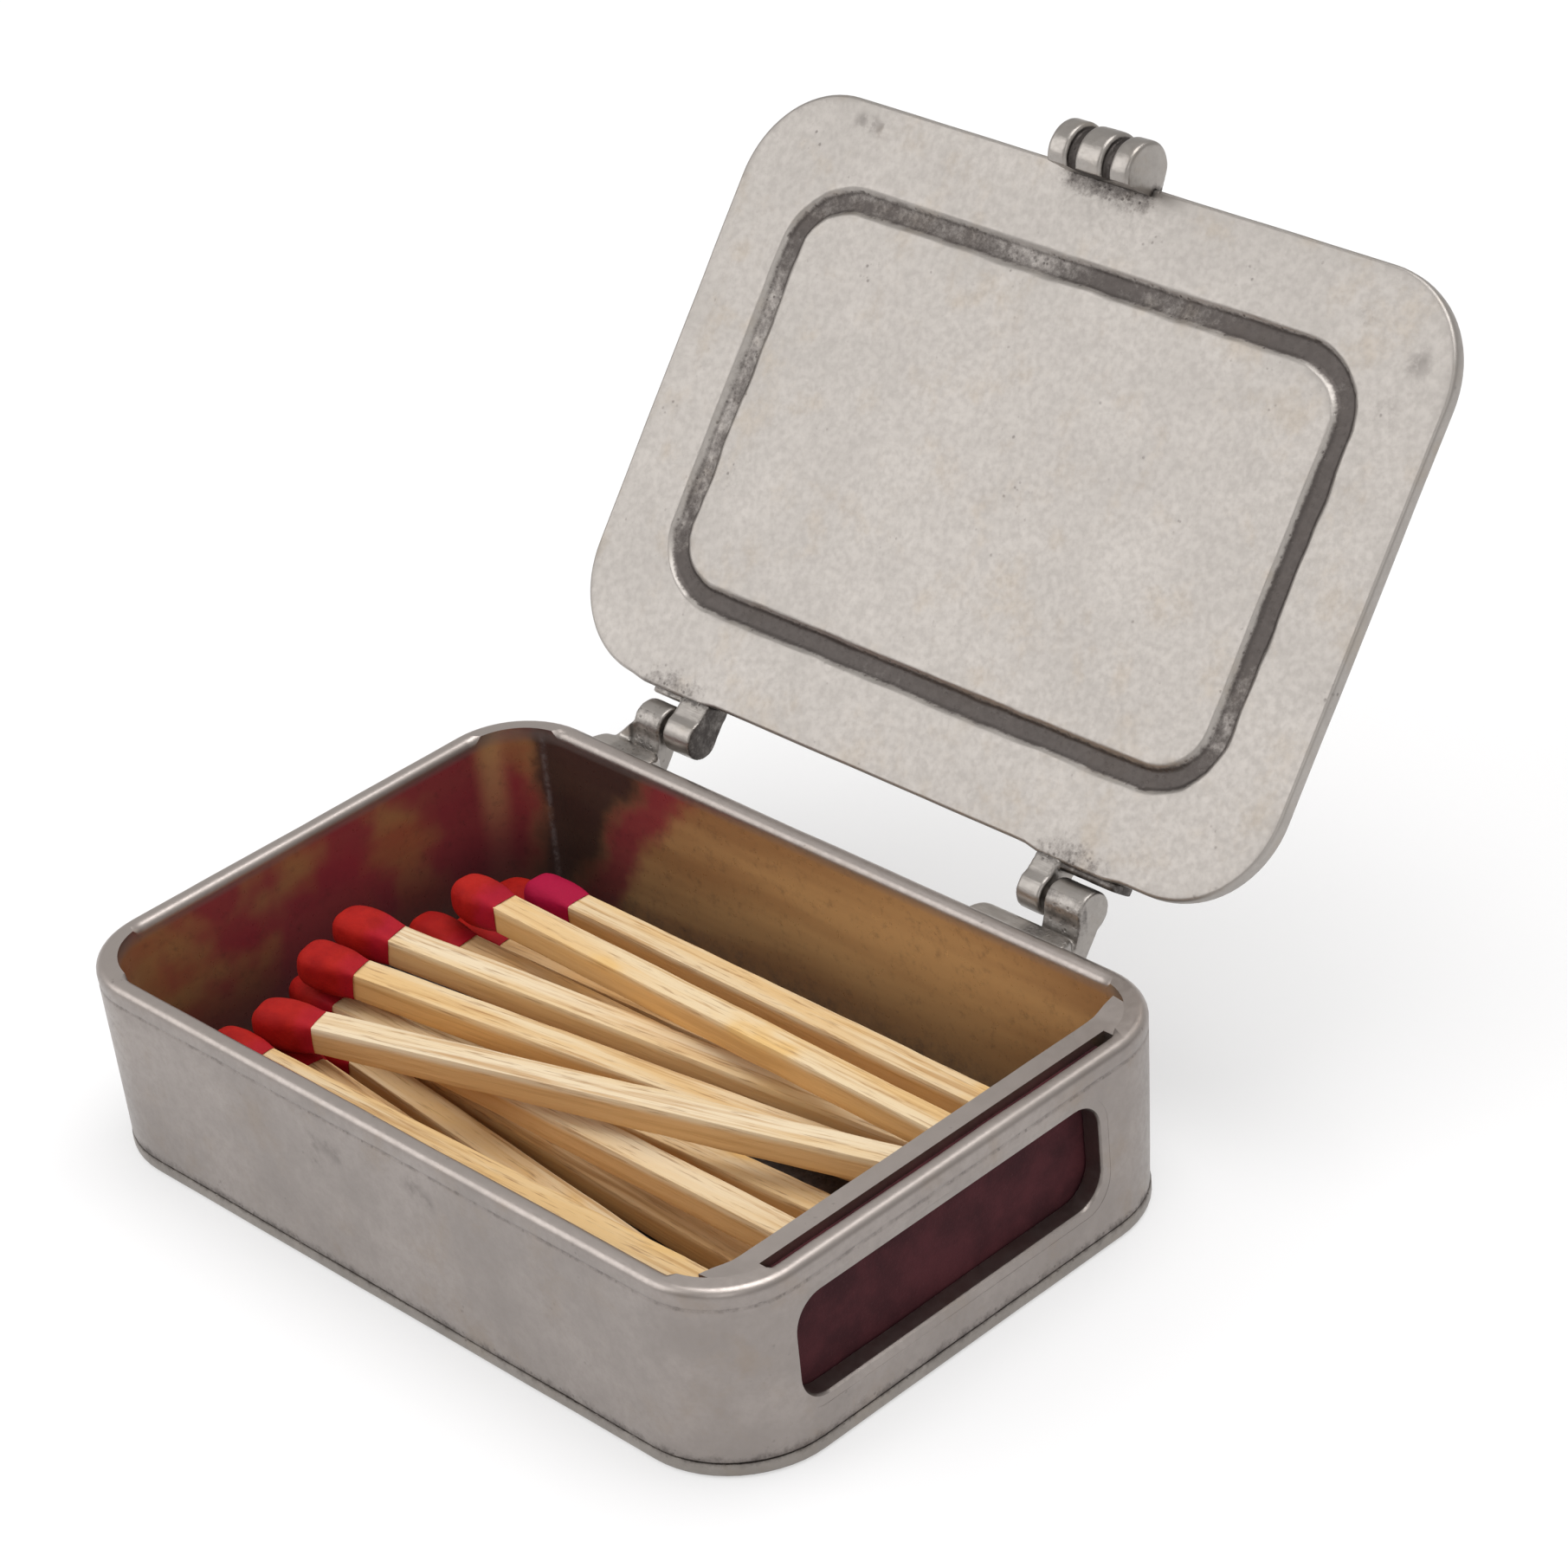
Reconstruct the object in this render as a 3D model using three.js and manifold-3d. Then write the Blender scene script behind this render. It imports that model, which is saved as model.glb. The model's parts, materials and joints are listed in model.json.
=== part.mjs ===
// A small cast pewter match box with a hinged lid, in millimetres, +Z up.
// +X runs along the hinge line towards the end with the striker window, -Y is the thumbpiece side.
// The origin is the middle of the underside of the base plate. The lid stands open on its stop.
import * as THREE from "three";
import { mergeVertices } from "three/addons/utils/BufferGeometryUtils.js";
import Module from "manifold-3d";

const wasm = await Module();
wasm.setup();

// Matches that the box is made for; its length follows from theirs
const matchLength = 52;
const matchPlay = 12; // spare length of the well
const stickWidth = 2.3;
const matchHeadLength = 5.3;
const matchHeadRadius = 1.6;
const matchNeckRadius = 1.3;
const matchNoseLength = 1.8;
const matchJoint = 0.06; // between a head and the end of its stick
const stickClearance = 0.15; // between layers and rows of the pile
// One match each: tip from the left wall in millimetres, row from the front wall, turn in degrees,
// and the layer that its head and its tail lie in
const pile = [
  { tip: 9.2, row: 1.4, turn: 2, head: 3.1, tail: 2.9 },
  { tip: 10.4, row: 2.7, turn: 18.8, head: 3.5, tail: 3 },
  { tip: 9.6, row: 3.2, turn: -4.5, head: 2.1, tail: 0.7 },
  { tip: 7.2, row: 5.6, turn: 15, head: 3.6, tail: 1.2 },
  { tip: 5, row: 5.9, turn: 1, head: 2, tail: 1.8 },
  { tip: 5.7, row: 7.6, turn: 13.2, head: 3.6, tail: 1.2 },
  { tip: 6, row: 10.4, turn: 6, head: 2, tail: 0 },
  { tip: 9.1, row: 11.35, turn: -0.4, head: 3.4, tail: 3.3 },
  { tip: 5.7, row: 12.2, turn: 5, head: 1, tail: 0 },
  { tip: 10.5, row: 13.75, turn: 0.3, head: 2.4, tail: 2.3 },
  { tip: 4.6, row: 14.4, turn: 1.5, head: 1, tail: 1.1 },
  { tip: 6, row: 4.35, turn: -4.2, head: 0.7, tail: 0.15 },
  { tip: 7.5, row: 5.7, turn: -4.8, head: 0.6, tail: 0.1 },
  { tip: 11.5, row: 6.8, turn: -2.2, head: 0.18, tail: 0 },
  { tip: 5.5, row: 8, turn: 0.5, head: 0.3, tail: 1.35 },
];

// Box
const boxDepth = 46.4;
const boxHeight = 15.8;
const wallThickness = 1.7;
const rimCorner = 6.9; // corner radius at the rim
const footCorner = 8.2; // corner radius where the wall meets the base plate
const rimRounding = 0.75;
const rimRoundingLimit = 0.45; // of the wall's thickness
const lipDrop = 1.5; // from the rim down to the scribed line
const lipGroove = 0.14;
const seamChamfer = 0.2;
const baseThickness = 1.2;
const baseLedge = 0.05; // the base plate stands this far proud of the wall
const baseRounding = 0.45;

// Striker window, partition, pocket and card
const windowFromFront = 6.7; // from the front of the box to the near edge of the window
const windowFromBack = 9.5;
const windowSill = 4.3;
const windowDrop = 2.9; // from the rim down to the window
const windowCorner = 3;
const windowFlare = 0.3;
const partitionThickness = 1.3;
const partitionDrop = 0.4; // its top edge below the rim
const partitionFit = 0.1;
const pocketFromEnds = 6.2; // from the front and the back of the box to the ends of the pocket
const cardThickness = 0.7;
const cardClearance = 0.15; // on each face, in the pocket
const cardEndClearance = 0.9; // at each end of the pocket
const cardDrop = 0.6; // below the top of the partition

// Hinges
const axisBehindWall = 3.3;
const axisAboveRim = 0.9;
const barrelRadius = 1.5;
const pinRadius = 0.6;
const boreClearance = 0.15;
const pinRecess = 0.05; // the ends lie this far inside the lugs
const pinChamfer = 0.12;
const lugGap = 0.45;
const bodyLeafThickness = 1.1;
const bodyLeafDrop = 0.25; // below the rim
const bodyLeafHeight = 5;
const lidLeafThickness = 1.1;
const lidLeafReach = 5.2; // forward over the lid
const lidLeafHeel = 0.75; // back past the edge of the lid
const solderGap = 0.15;
// Each hinge: how far from the end of the box its lid lug starts, the width of both lugs outwards,
// how far the body leaf runs on past its lug on either side, and how far the boss runs past that lug
const leftHinge = {
  side: -1,
  fromEnd: 17.55,
  lidLug: 2.8,
  bodyLug: 2.6,
  leafIn: 1.2,
  leafOut: 2.9,
  bossOut: 1.3,
};
const rightHinge = {
  side: 1,
  fromEnd: 17.85,
  lidLug: 2.1,
  bodyLug: 3.4,
  leafIn: 5.5,
  leafOut: 0.4,
  bossOut: 1.4,
};
const lugBackAngle = -Math.PI / 5; // where a lug leaves its barrel, about the axis from +Y
const lidLugTopAngle = 3 * Math.PI / 8;
const lidLugFootAngle = -2 * Math.PI / 3;

// Lid
const lidThickness = 1.4;
const lidSeat = 0.1; // between the rim and the closed lid
const lidOverhangSide = 0.1;
const lidOverhangFront = 1;
const lidOverhangBack = 0.6;
const lidShift = 0.7; // the lid sits a little towards the striker end
const lidCorner = 8.5;
const lidEdgeRounding = 0.5;
const lidInnerRounding = 0.25;
const openAngle = 128;
const grooveMargin = 6.75;
const grooveCorner = 6.3;
const grooveWidth = 2;
const grooveDepth = 0.6;
const grooveSlope = 0.5;

// Thumbpiece, a three-lobed barrel under the front edge of the lid
const thumbRadius = 2.35;
const thumbLobe = 1.9;
const thumbWaist = 0.5; // depth of the two waists between the lobes
const thumbWaistWidth = 1.15;
const thumbDrop = 1.45; // its axis below the inner face of the lid
const thumbOut = 0.8; // its axis in front of the edge of the lid
const thumbRounding = 0.45;
const thumbClearance = 0.35; // to the front wall when the lid is closed

// Facets
const cornerSteps = 9;
const roundSteps = 24;
const headSteps = 12;
const shoulder = 1 - Math.SQRT1_2; // the middle of a round of radius 1, from each of its two faces

const pewter = (color, roughness) => new THREE.MeshStandardMaterial({ color, roughness, metalness: 0.9 });
const cardStock = new THREE.MeshStandardMaterial({ color: 0x46252b, roughness: 0.9 });
const splint = new THREE.MeshStandardMaterial({ color: 0xd2b084, roughness: 0.75 });
const matchCompound = new THREE.MeshStandardMaterial({ color: 0xa81e1e, roughness: 0.8 });

const pocketWidth = cardThickness + 2 * cardClearance;
const boxLength = matchLength + matchPlay + partitionThickness + pocketWidth + 2 * wallThickness;
const endX = boxLength / 2;
const wallY = boxDepth / 2;
const rimZ = boxHeight;
const innerFaceX = endX - wallThickness;
const pocketX = innerFaceX - pocketWidth;
const pocketBack = wallY - pocketFromEnds;
const partitionTopZ = rimZ - partitionDrop;
const axisY = wallY + axisBehindWall;
const axisZ = rimZ + axisAboveRim;
const lidInnerZ = rimZ + lidSeat;
const lidTopZ = lidInnerZ + lidThickness;
const lidFrontY = -wallY - lidOverhangFront;
const lidBackY = wallY + lidOverhangBack;

// A rounded rectangle at height z, counter-clockwise, its middle at (x, y)
function roundedLoop(length, depth, corner, z, x = 0, y = 0) {
  const loop = [];
  const middles = [[1, -1], [1, 1], [-1, 1], [-1, -1]];
  middles.forEach(([signX, signY], quarter) => {
    const middleX = x + signX * (length / 2 - corner);
    const middleY = y + signY * (depth / 2 - corner);
    for (let step = 0; step <= cornerSteps; step += 1) {
      const angle = (quarter - 1 + step / cornerSteps) * Math.PI / 2;
      loop.push([middleX + corner * Math.cos(angle), middleY + corner * Math.sin(angle), z]);
    }
  });
  return loop;
}

// Skins a row of loops of equal length; a ring joins the last loop to the first, and a block is capped
function skin(loops, ring = false) {
  const around = loops[0].length;
  const positions = loops.flat(2);
  const index = [];
  const rows = ring ? loops.length : loops.length - 1;
  for (let row = 0; row < rows; row += 1) {
    const low = row * around;
    const high = ((row + 1) % loops.length) * around;
    for (let i = 0; i < around; i += 1) {
      const next = (i + 1) % around;
      index.push(low + i, low + next, high + next, low + i, high + next, high + i);
    }
  }
  if (!ring) {
    const top = (loops.length - 1) * around;
    for (let i = 1; i < around - 1; i += 1) {
      index.push(0, i + 1, i, top, top + i, top + i + 1);
    }
  }
  const geometry = new THREE.BufferGeometry();
  geometry.setAttribute("position", new THREE.Float32BufferAttribute(positions, 3));
  geometry.setIndex(index);
  return geometry;
}

// Turns what was drawn in X and Y and extruded along Z, so that it lies in Y and Z along X
const turnAlongX = new THREE.Matrix4().makeBasis(
  new THREE.Vector3(0, 1, 0),
  new THREE.Vector3(0, 0, 1),
  new THREE.Vector3(1, 0, 0),
);

function alongX(shape, fromX, toX) {
  const geometry = new THREE.ExtrudeGeometry(shape, {
    depth: toX - fromX,
    bevelEnabled: false,
    curveSegments: roundSteps,
  });
  geometry.applyMatrix4(turnAlongX);
  geometry.translate(fromX, 0, 0);
  return geometry;
}

function block(fromX, toX, fromY, toY, fromZ, toZ) {
  const geometry = new THREE.BoxGeometry(toX - fromX, toY - fromY, toZ - fromZ);
  geometry.translate((fromX + toX) / 2, (fromY + toY) / 2, (fromZ + toZ) / 2);
  return geometry;
}

function rodAlongX(radius, fromX, toX, y, z) {
  const geometry = new THREE.CylinderGeometry(radius, radius, toX - fromX, roundSteps);
  geometry.rotateZ(Math.PI / 2);
  geometry.translate((fromX + toX) / 2, y, z);
  return geometry;
}

function toSolid(geometry) {
  const bare = geometry.clone();
  bare.deleteAttribute("normal");
  bare.deleteAttribute("uv");
  const merged = mergeVertices(bare, 1e-4);
  return new wasm.Manifold(new wasm.Mesh({
    numProp: 3,
    vertProperties: Float32Array.from(merged.attributes.position.array),
    triVerts: Uint32Array.from(merged.index.array),
  }));
}

function toGeometry(solid) {
  const mesh = solid.getMesh();
  const geometry = new THREE.BufferGeometry();
  geometry.setAttribute("position", new THREE.BufferAttribute(mesh.vertProperties.slice(), 3));
  geometry.setIndex(new THREE.BufferAttribute(mesh.triVerts.slice(), 1));
  geometry.computeVertexNormals();
  return geometry;
}

function piece(name, geometry, material) {
  const mesh = new THREE.Mesh(geometry, material);
  mesh.name = name;
  return mesh;
}

// The corner radius eases from the foot to the rim
function wallCorner(z) {
  const climb = (z - baseThickness) / (rimZ - baseThickness);
  return footCorner + (rimCorner - footCorner) * climb;
}

function wallLoop(inset, z) {
  return roundedLoop(boxLength - 2 * inset, boxDepth - 2 * inset, wallCorner(z) - inset, z);
}

function boxWall() {
  const lipZ = rimZ - lipDrop;
  const rounding = Math.min(rimRounding, rimRoundingLimit * wallThickness);
  const loops = [
    wallLoop(seamChamfer, baseThickness),
    wallLoop(0, baseThickness + seamChamfer),
    wallLoop(0, lipZ - lipGroove),
    wallLoop(lipGroove, lipZ),
    wallLoop(0, lipZ + lipGroove),
  ];
  const rimSteps = 4;
  for (let step = 0; step <= rimSteps; step += 1) {
    const angle = (step / rimSteps) * Math.PI / 2;
    loops.push(wallLoop(rounding * (1 - Math.cos(angle)), rimZ - rounding * (1 - Math.sin(angle))));
  }
  for (let step = 0; step <= rimSteps; step += 1) {
    const angle = (step / rimSteps) * Math.PI / 2;
    const inset = wallThickness - rounding * (1 - Math.sin(angle));
    loops.push(wallLoop(inset, rimZ - rounding * (1 - Math.cos(angle))));
  }
  loops.push(wallLoop(wallThickness, baseThickness));
  return toGeometry(toSolid(skin(loops, true)).subtract(windowCutter()));
}

function windowShape() {
  const shape = new THREE.Shape();
  const quarter = Math.PI / 2;
  const front = windowFromFront - wallY + windowCorner;
  const back = wallY - windowFromBack - windowCorner;
  const low = windowSill + windowCorner;
  const high = rimZ - windowDrop - windowCorner;
  shape.absarc(back, low, windowCorner, -quarter, 0, false);
  shape.absarc(back, high, windowCorner, 0, quarter, false);
  shape.absarc(front, high, windowCorner, quarter, 2 * quarter, false);
  shape.absarc(front, low, windowCorner, 2 * quarter, 3 * quarter, false);
  return shape;
}

// Straight through the wall, with a flared mouth on the outside
function windowCutter() {
  const reach = 1; // past both faces of the wall
  const through = toSolid(alongX(windowShape(), innerFaceX - reach, endX + reach));
  const mouth = new THREE.ExtrudeGeometry(windowShape(), {
    depth: reach,
    bevelSize: windowFlare,
    bevelThickness: windowFlare,
    bevelSegments: 2,
    curveSegments: roundSteps / 3,
  });
  mouth.applyMatrix4(turnAlongX);
  mouth.translate(endX, 0, 0);
  return through.add(toSolid(mouth));
}

function basePlate() {
  const plateLoop = (inset, z) => roundedLoop(
    boxLength + 2 * (baseLedge - inset),
    boxDepth + 2 * (baseLedge - inset),
    footCorner + baseLedge - inset,
    z,
  );
  return skin([
    plateLoop(baseRounding, 0),
    plateLoop(baseRounding * shoulder, baseRounding * shoulder),
    plateLoop(0, baseRounding),
    plateLoop(0, baseThickness),
  ]);
}

// A strip across the striker end, thicker at both ends, where it closes the pocket against the wall
function strikerPartition() {
  const well = skin([baseThickness, partitionTopZ].map((z) => wallLoop(wallThickness + partitionFit, z)));
  const strip = block(pocketX - partitionThickness, endX, -wallY, wallY, 0, boxHeight);
  const pocket = block(pocketX, endX, -pocketBack, pocketBack, 0, boxHeight);
  return toGeometry(toSolid(well).intersect(toSolid(strip)).subtract(toSolid(pocket)));
}

function strikerCard() {
  return block(
    pocketX + cardClearance,
    pocketX + cardClearance + cardThickness,
    cardEndClearance - pocketBack,
    pocketBack - cardEndClearance,
    baseThickness,
    partitionTopZ - cardDrop,
  );
}

// Distances outwards from the middle of the box become ranges of X on the hinge's side
function hingeSpans(hinge) {
  const span = (inner, outer) => (hinge.side > 0 ? [inner, outer] : [-outer, -inner]);
  const start = endX - hinge.fromEnd;
  const lidOuter = start + hinge.lidLug;
  const bodyInner = lidOuter + lugGap;
  const bodyOuter = bodyInner + hinge.bodyLug;
  return {
    lidLug: span(start, lidOuter),
    bodyLug: span(bodyInner, bodyOuter),
    leaf: span(bodyInner - hinge.leafIn, bodyOuter + hinge.leafOut),
    boss: span(start, bodyOuter + hinge.bossOut),
    pin: span(start + pinRecess, bodyOuter - pinRecess),
  };
}

function boredForPin(solid) {
  const bore = rodAlongX(pinRadius + boreClearance, -endX, endX, axisY, axisZ);
  return toGeometry(solid.subtract(toSolid(bore)));
}

// A leaf soldered to the back wall, with a lug that rises to the barrel
function bodyHinge(hinge) {
  const spans = hingeSpans(hinge);
  const topZ = rimZ - bodyLeafDrop;
  const footZ = topZ - bodyLeafHeight;
  const leaf = new THREE.Shape();
  leaf.moveTo(wallY, footZ);
  leaf.lineTo(wallY + bodyLeafThickness, footZ + bodyLeafThickness);
  leaf.lineTo(wallY + bodyLeafThickness, topZ - bodyLeafThickness / 2);
  leaf.lineTo(wallY + bodyLeafThickness / 2, topZ);
  leaf.lineTo(wallY, topZ);
  const lug = new THREE.Shape();
  lug.moveTo(wallY, footZ + bodyLeafThickness);
  lug.lineTo(wallY + bodyLeafThickness, footZ + bodyLeafThickness);
  lug.absarc(axisY, axisZ, barrelRadius, lugBackAngle, Math.PI, false);
  lug.lineTo(axisY - barrelRadius, topZ + bodyLeafThickness / 2);
  lug.lineTo(axisY - barrelRadius - bodyLeafThickness / 2, topZ);
  lug.lineTo(wallY, topZ);
  const leafSolid = toSolid(alongX(leaf, ...spans.leaf));
  const lugSolid = toSolid(alongX(lug, ...spans.bodyLug));
  return boredForPin(leafSolid.add(lugSolid));
}

// A boss over the back edge of the closed lid, with a lug that drops to the barrel
function lidHinge(hinge) {
  const spans = hingeSpans(hinge);
  const underZ = lidTopZ + solderGap;
  const topZ = underZ + lidLeafThickness;
  const edgeY = lidBackY + solderGap;
  const heelY = lidBackY + lidLeafHeel;
  const frontY = lidBackY - lidLeafReach;
  const boss = new THREE.Shape();
  boss.moveTo(frontY, underZ);
  boss.lineTo(edgeY, underZ);
  boss.lineTo(edgeY, lidInnerZ);
  boss.lineTo(heelY, lidInnerZ);
  boss.lineTo(heelY, topZ - lidLeafThickness / 2);
  boss.lineTo(heelY - lidLeafThickness / 2, topZ);
  boss.lineTo(frontY + lidLeafThickness, topZ);
  const lug = new THREE.Shape();
  lug.moveTo(edgeY, underZ);
  lug.lineTo(edgeY, lidInnerZ);
  lug.lineTo(heelY, lidInnerZ);
  lug.absarc(axisY, axisZ, barrelRadius, lidLugFootAngle, lidLugTopAngle, false);
  lug.lineTo(heelY - lidLeafThickness / 2, topZ);
  const bossSolid = toSolid(alongX(boss, ...spans.boss));
  const lugSolid = toSolid(alongX(lug, ...spans.lidLug));
  return boredForPin(bossSolid.add(lugSolid));
}

function hingePin(hinge) {
  const [fromX, toX] = hingeSpans(hinge).pin;
  const profile = [
    new THREE.Vector2(0, fromX),
    new THREE.Vector2(pinRadius - pinChamfer, fromX),
    new THREE.Vector2(pinRadius, fromX + pinChamfer),
    new THREE.Vector2(pinRadius, toX - pinChamfer),
    new THREE.Vector2(pinRadius - pinChamfer, toX),
    new THREE.Vector2(0, toX),
  ];
  const geometry = new THREE.LatheGeometry(profile, roundSteps);
  geometry.rotateZ(-Math.PI / 2);
  return geometry;
}

function lidPlate() {
  const length = boxLength + 2 * lidOverhangSide;
  const depth = lidBackY - lidFrontY;
  const middleY = (lidBackY + lidFrontY) / 2;
  const loopAt = (inset, z, corner = lidCorner) => roundedLoop(
    length - 2 * inset,
    depth - 2 * inset,
    corner - inset,
    z,
    lidShift,
    middleY,
  );
  const loops = [loopAt(lidInnerRounding, lidInnerZ), loopAt(0, lidInnerZ + lidInnerRounding)];
  const edgeSteps = 3;
  for (let step = 0; step <= edgeSteps; step += 1) {
    const angle = (step / edgeSteps) * Math.PI / 2;
    const inset = lidEdgeRounding * (1 - Math.cos(angle));
    loops.push(loopAt(inset, lidTopZ - lidEdgeRounding * (1 - Math.sin(angle))));
  }
  const grooveAt = (inset, z) => loopAt(grooveMargin + inset, z, grooveMargin + grooveCorner);
  const grooveReach = 1; // below the inner face
  const groove = toSolid(skin([
    grooveAt(0, lidInnerZ - grooveReach),
    grooveAt(0, lidInnerZ),
    grooveAt(grooveSlope, lidInnerZ + grooveDepth),
    grooveAt(grooveWidth - grooveSlope, lidInnerZ + grooveDepth),
    grooveAt(grooveWidth, lidInnerZ),
    grooveAt(grooveWidth, lidInnerZ - grooveReach),
  ], true));
  return toGeometry(toSolid(skin(loops)).subtract(groove));
}

function thumbPiece() {
  const middleY = lidFrontY - thumbOut;
  const middleZ = lidInnerZ - thumbDrop;
  const length = 3 * thumbLobe + 2 * thumbWaistWidth;
  const shoulderIn = thumbRounding * shoulder;
  const profile = [new THREE.Vector2(0, 0)];
  for (let lobe = 0; lobe < 3; lobe += 1) {
    const start = lobe * (thumbLobe + thumbWaistWidth);
    const end = start + thumbLobe;
    const startRadius = thumbRadius - (lobe === 0 ? thumbRounding : thumbWaist);
    const endRadius = thumbRadius - (lobe === 2 ? thumbRounding : thumbWaist);
    profile.push(new THREE.Vector2(startRadius, start));
    profile.push(new THREE.Vector2(thumbRadius - shoulderIn, start + shoulderIn));
    profile.push(new THREE.Vector2(thumbRadius, start + thumbRounding));
    profile.push(new THREE.Vector2(thumbRadius, end - thumbRounding));
    profile.push(new THREE.Vector2(thumbRadius - shoulderIn, end - shoulderIn));
    profile.push(new THREE.Vector2(endRadius, end));
  }
  profile.push(new THREE.Vector2(0, length));
  const barrel = new THREE.LatheGeometry(profile, roundSteps);
  barrel.rotateZ(-Math.PI / 2);
  barrel.translate(lidShift - length / 2, middleY, middleZ);
  const aboveZ = lidTopZ + thumbRadius;
  const behindWall = block(-endX, endX, -wallY - thumbClearance, wallY, 0, aboveZ);
  const lidEdge = block(-endX, endX, lidFrontY - solderGap, wallY, lidInnerZ - solderGap, aboveZ);
  return toGeometry(toSolid(barrel).subtract(toSolid(behindWall)).subtract(toSolid(lidEdge)));
}

// The head is a blunt bulb with its tip at the start, along X
function matchHead() {
  const profile = [];
  const noseSteps = 4;
  for (let step = 0; step <= noseSteps; step += 1) {
    const angle = (step / noseSteps) * Math.PI / 2;
    const radius = step === 0 ? 0 : matchHeadRadius * Math.sin(angle);
    profile.push(new THREE.Vector2(radius, matchNoseLength * (1 - Math.cos(angle))));
  }
  profile.push(new THREE.Vector2(matchHeadRadius, matchHeadLength - matchNoseLength));
  profile.push(new THREE.Vector2(matchNeckRadius, matchHeadLength));
  profile.push(new THREE.Vector2(0, matchHeadLength));
  const geometry = new THREE.LatheGeometry(profile, headSteps);
  geometry.rotateZ(-Math.PI / 2);
  return geometry;
}

function matchStick() {
  const half = stickWidth / 2;
  return block(matchHeadLength + matchJoint, matchLength, -half, half, -half, half);
}

// A match drawn from its tip along X, then laid in the pile
function match(place, number) {
  const pitch = stickWidth + stickClearance;
  const layerZ = (layer) => baseThickness + pitch * (layer + 0.5);
  const name = `match_${String(number).padStart(2, "0")}`;
  const group = new THREE.Group();
  group.add(piece(`${name}_stick`, matchStick(), splint));
  group.add(piece(`${name}_head`, matchHead(), matchCompound));
  group.position.set(place.tip - innerFaceX, wallThickness - wallY + pitch * place.row, layerZ(place.head));
  const rise = layerZ(place.tail) - layerZ(place.head);
  group.rotation.set(0, -Math.asin(rise / matchLength), THREE.MathUtils.degToRad(place.turn), "ZYX");
  return group;
}

const box = new THREE.Group();
box.add(piece("box_wall", boxWall(), pewter(0x9c948e, 0.45)));
box.add(piece("base_plate", basePlate(), pewter(0x8f8882, 0.5)));
box.add(piece("striker_partition", strikerPartition(), pewter(0x9a938d, 0.45)));
box.add(piece("striker_card", strikerCard(), cardStock));
box.add(piece("body_hinge_left", bodyHinge(leftHinge), pewter(0x9a938d, 0.45)));
box.add(piece("body_hinge_right", bodyHinge(rightHinge), pewter(0x9a938d, 0.45)));
box.add(piece("hinge_pin_left", hingePin(leftHinge), pewter(0x857e78, 0.4)));
box.add(piece("hinge_pin_right", hingePin(rightHinge), pewter(0x857e78, 0.4)));
box.getObjectByName("hinge_pin_left").position.set(0, axisY, axisZ);
box.getObjectByName("hinge_pin_right").position.set(0, axisY, axisZ);
pile.forEach((place, i) => box.add(match(place, i + 1)));

// The lid is drawn closed, then its group turns about the hinge axis
const closedLid = new THREE.Group();
closedLid.position.set(0, -axisY, -axisZ);
closedLid.add(piece("lid", lidPlate(), pewter(0xc4beb8, 0.5)));
closedLid.add(piece("lid_hinge_left", lidHinge(leftHinge), pewter(0x9a938d, 0.45)));
closedLid.add(piece("lid_hinge_right", lidHinge(rightHinge), pewter(0x9a938d, 0.45)));
closedLid.add(piece("thumbpiece", thumbPiece(), pewter(0xa39c96, 0.4)));
const lid = new THREE.Group();
lid.position.set(0, axisY, axisZ);
lid.rotation.x = -THREE.MathUtils.degToRad(openAngle);
lid.add(closedLid);

const matchBox = new THREE.Group();
matchBox.add(box, lid);
export default matchBox;
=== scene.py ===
import json
import math

import bmesh
import bpy
from mathutils import Matrix, Quaternion, Vector, noise


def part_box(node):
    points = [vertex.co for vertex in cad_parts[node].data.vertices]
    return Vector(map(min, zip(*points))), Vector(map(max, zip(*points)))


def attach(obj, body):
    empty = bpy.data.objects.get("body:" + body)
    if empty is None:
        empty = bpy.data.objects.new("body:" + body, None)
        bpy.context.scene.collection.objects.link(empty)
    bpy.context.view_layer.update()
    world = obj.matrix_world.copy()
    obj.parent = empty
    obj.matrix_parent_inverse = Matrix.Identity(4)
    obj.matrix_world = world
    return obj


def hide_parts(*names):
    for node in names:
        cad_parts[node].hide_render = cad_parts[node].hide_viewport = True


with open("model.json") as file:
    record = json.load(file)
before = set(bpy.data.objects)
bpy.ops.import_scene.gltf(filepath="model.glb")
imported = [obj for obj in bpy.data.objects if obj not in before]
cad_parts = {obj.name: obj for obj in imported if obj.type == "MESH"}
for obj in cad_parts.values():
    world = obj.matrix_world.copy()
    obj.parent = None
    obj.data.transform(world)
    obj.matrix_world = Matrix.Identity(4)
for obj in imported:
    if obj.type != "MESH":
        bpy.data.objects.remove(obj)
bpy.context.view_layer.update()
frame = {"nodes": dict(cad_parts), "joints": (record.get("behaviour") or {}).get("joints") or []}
mm = 0.001

# The hinge line and the angle that the lid stands open at, from the joint
lidJoint = frame["joints"][0]
hingeAt = Vector(lidJoint["pos_m"])
openAngle = math.radians(lidJoint["range_deg"][1])
openTurn = Matrix.Translation(hingeAt) @ Matrix.Rotation(-openAngle, 4, "X") @ Matrix.Translation(-hingeAt)

wallLow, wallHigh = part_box("box_wall")
endX, wallY, rimZ = wallHigh
baseTop = wallLow.z
hingeMiddles = (-21.5 * mm, 20 * mm)


def shutPlaces(node):
    # where the vertices of a lid node are when the lid is shut
    shut = openTurn.inverted()
    return [shut @ vert.co for vert in frame["nodes"][node].data.vertices]


def closedBox(node):
    # the low and high corners of a lid node when the lid is shut
    corners = shutPlaces(node)
    return [Vector([end(corner[axis] for corner in corners) for axis in range(3)]) for end in (min, max)]


# Modelling helpers: each acts on one piece, and leaves object mode with only that piece selected

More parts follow.
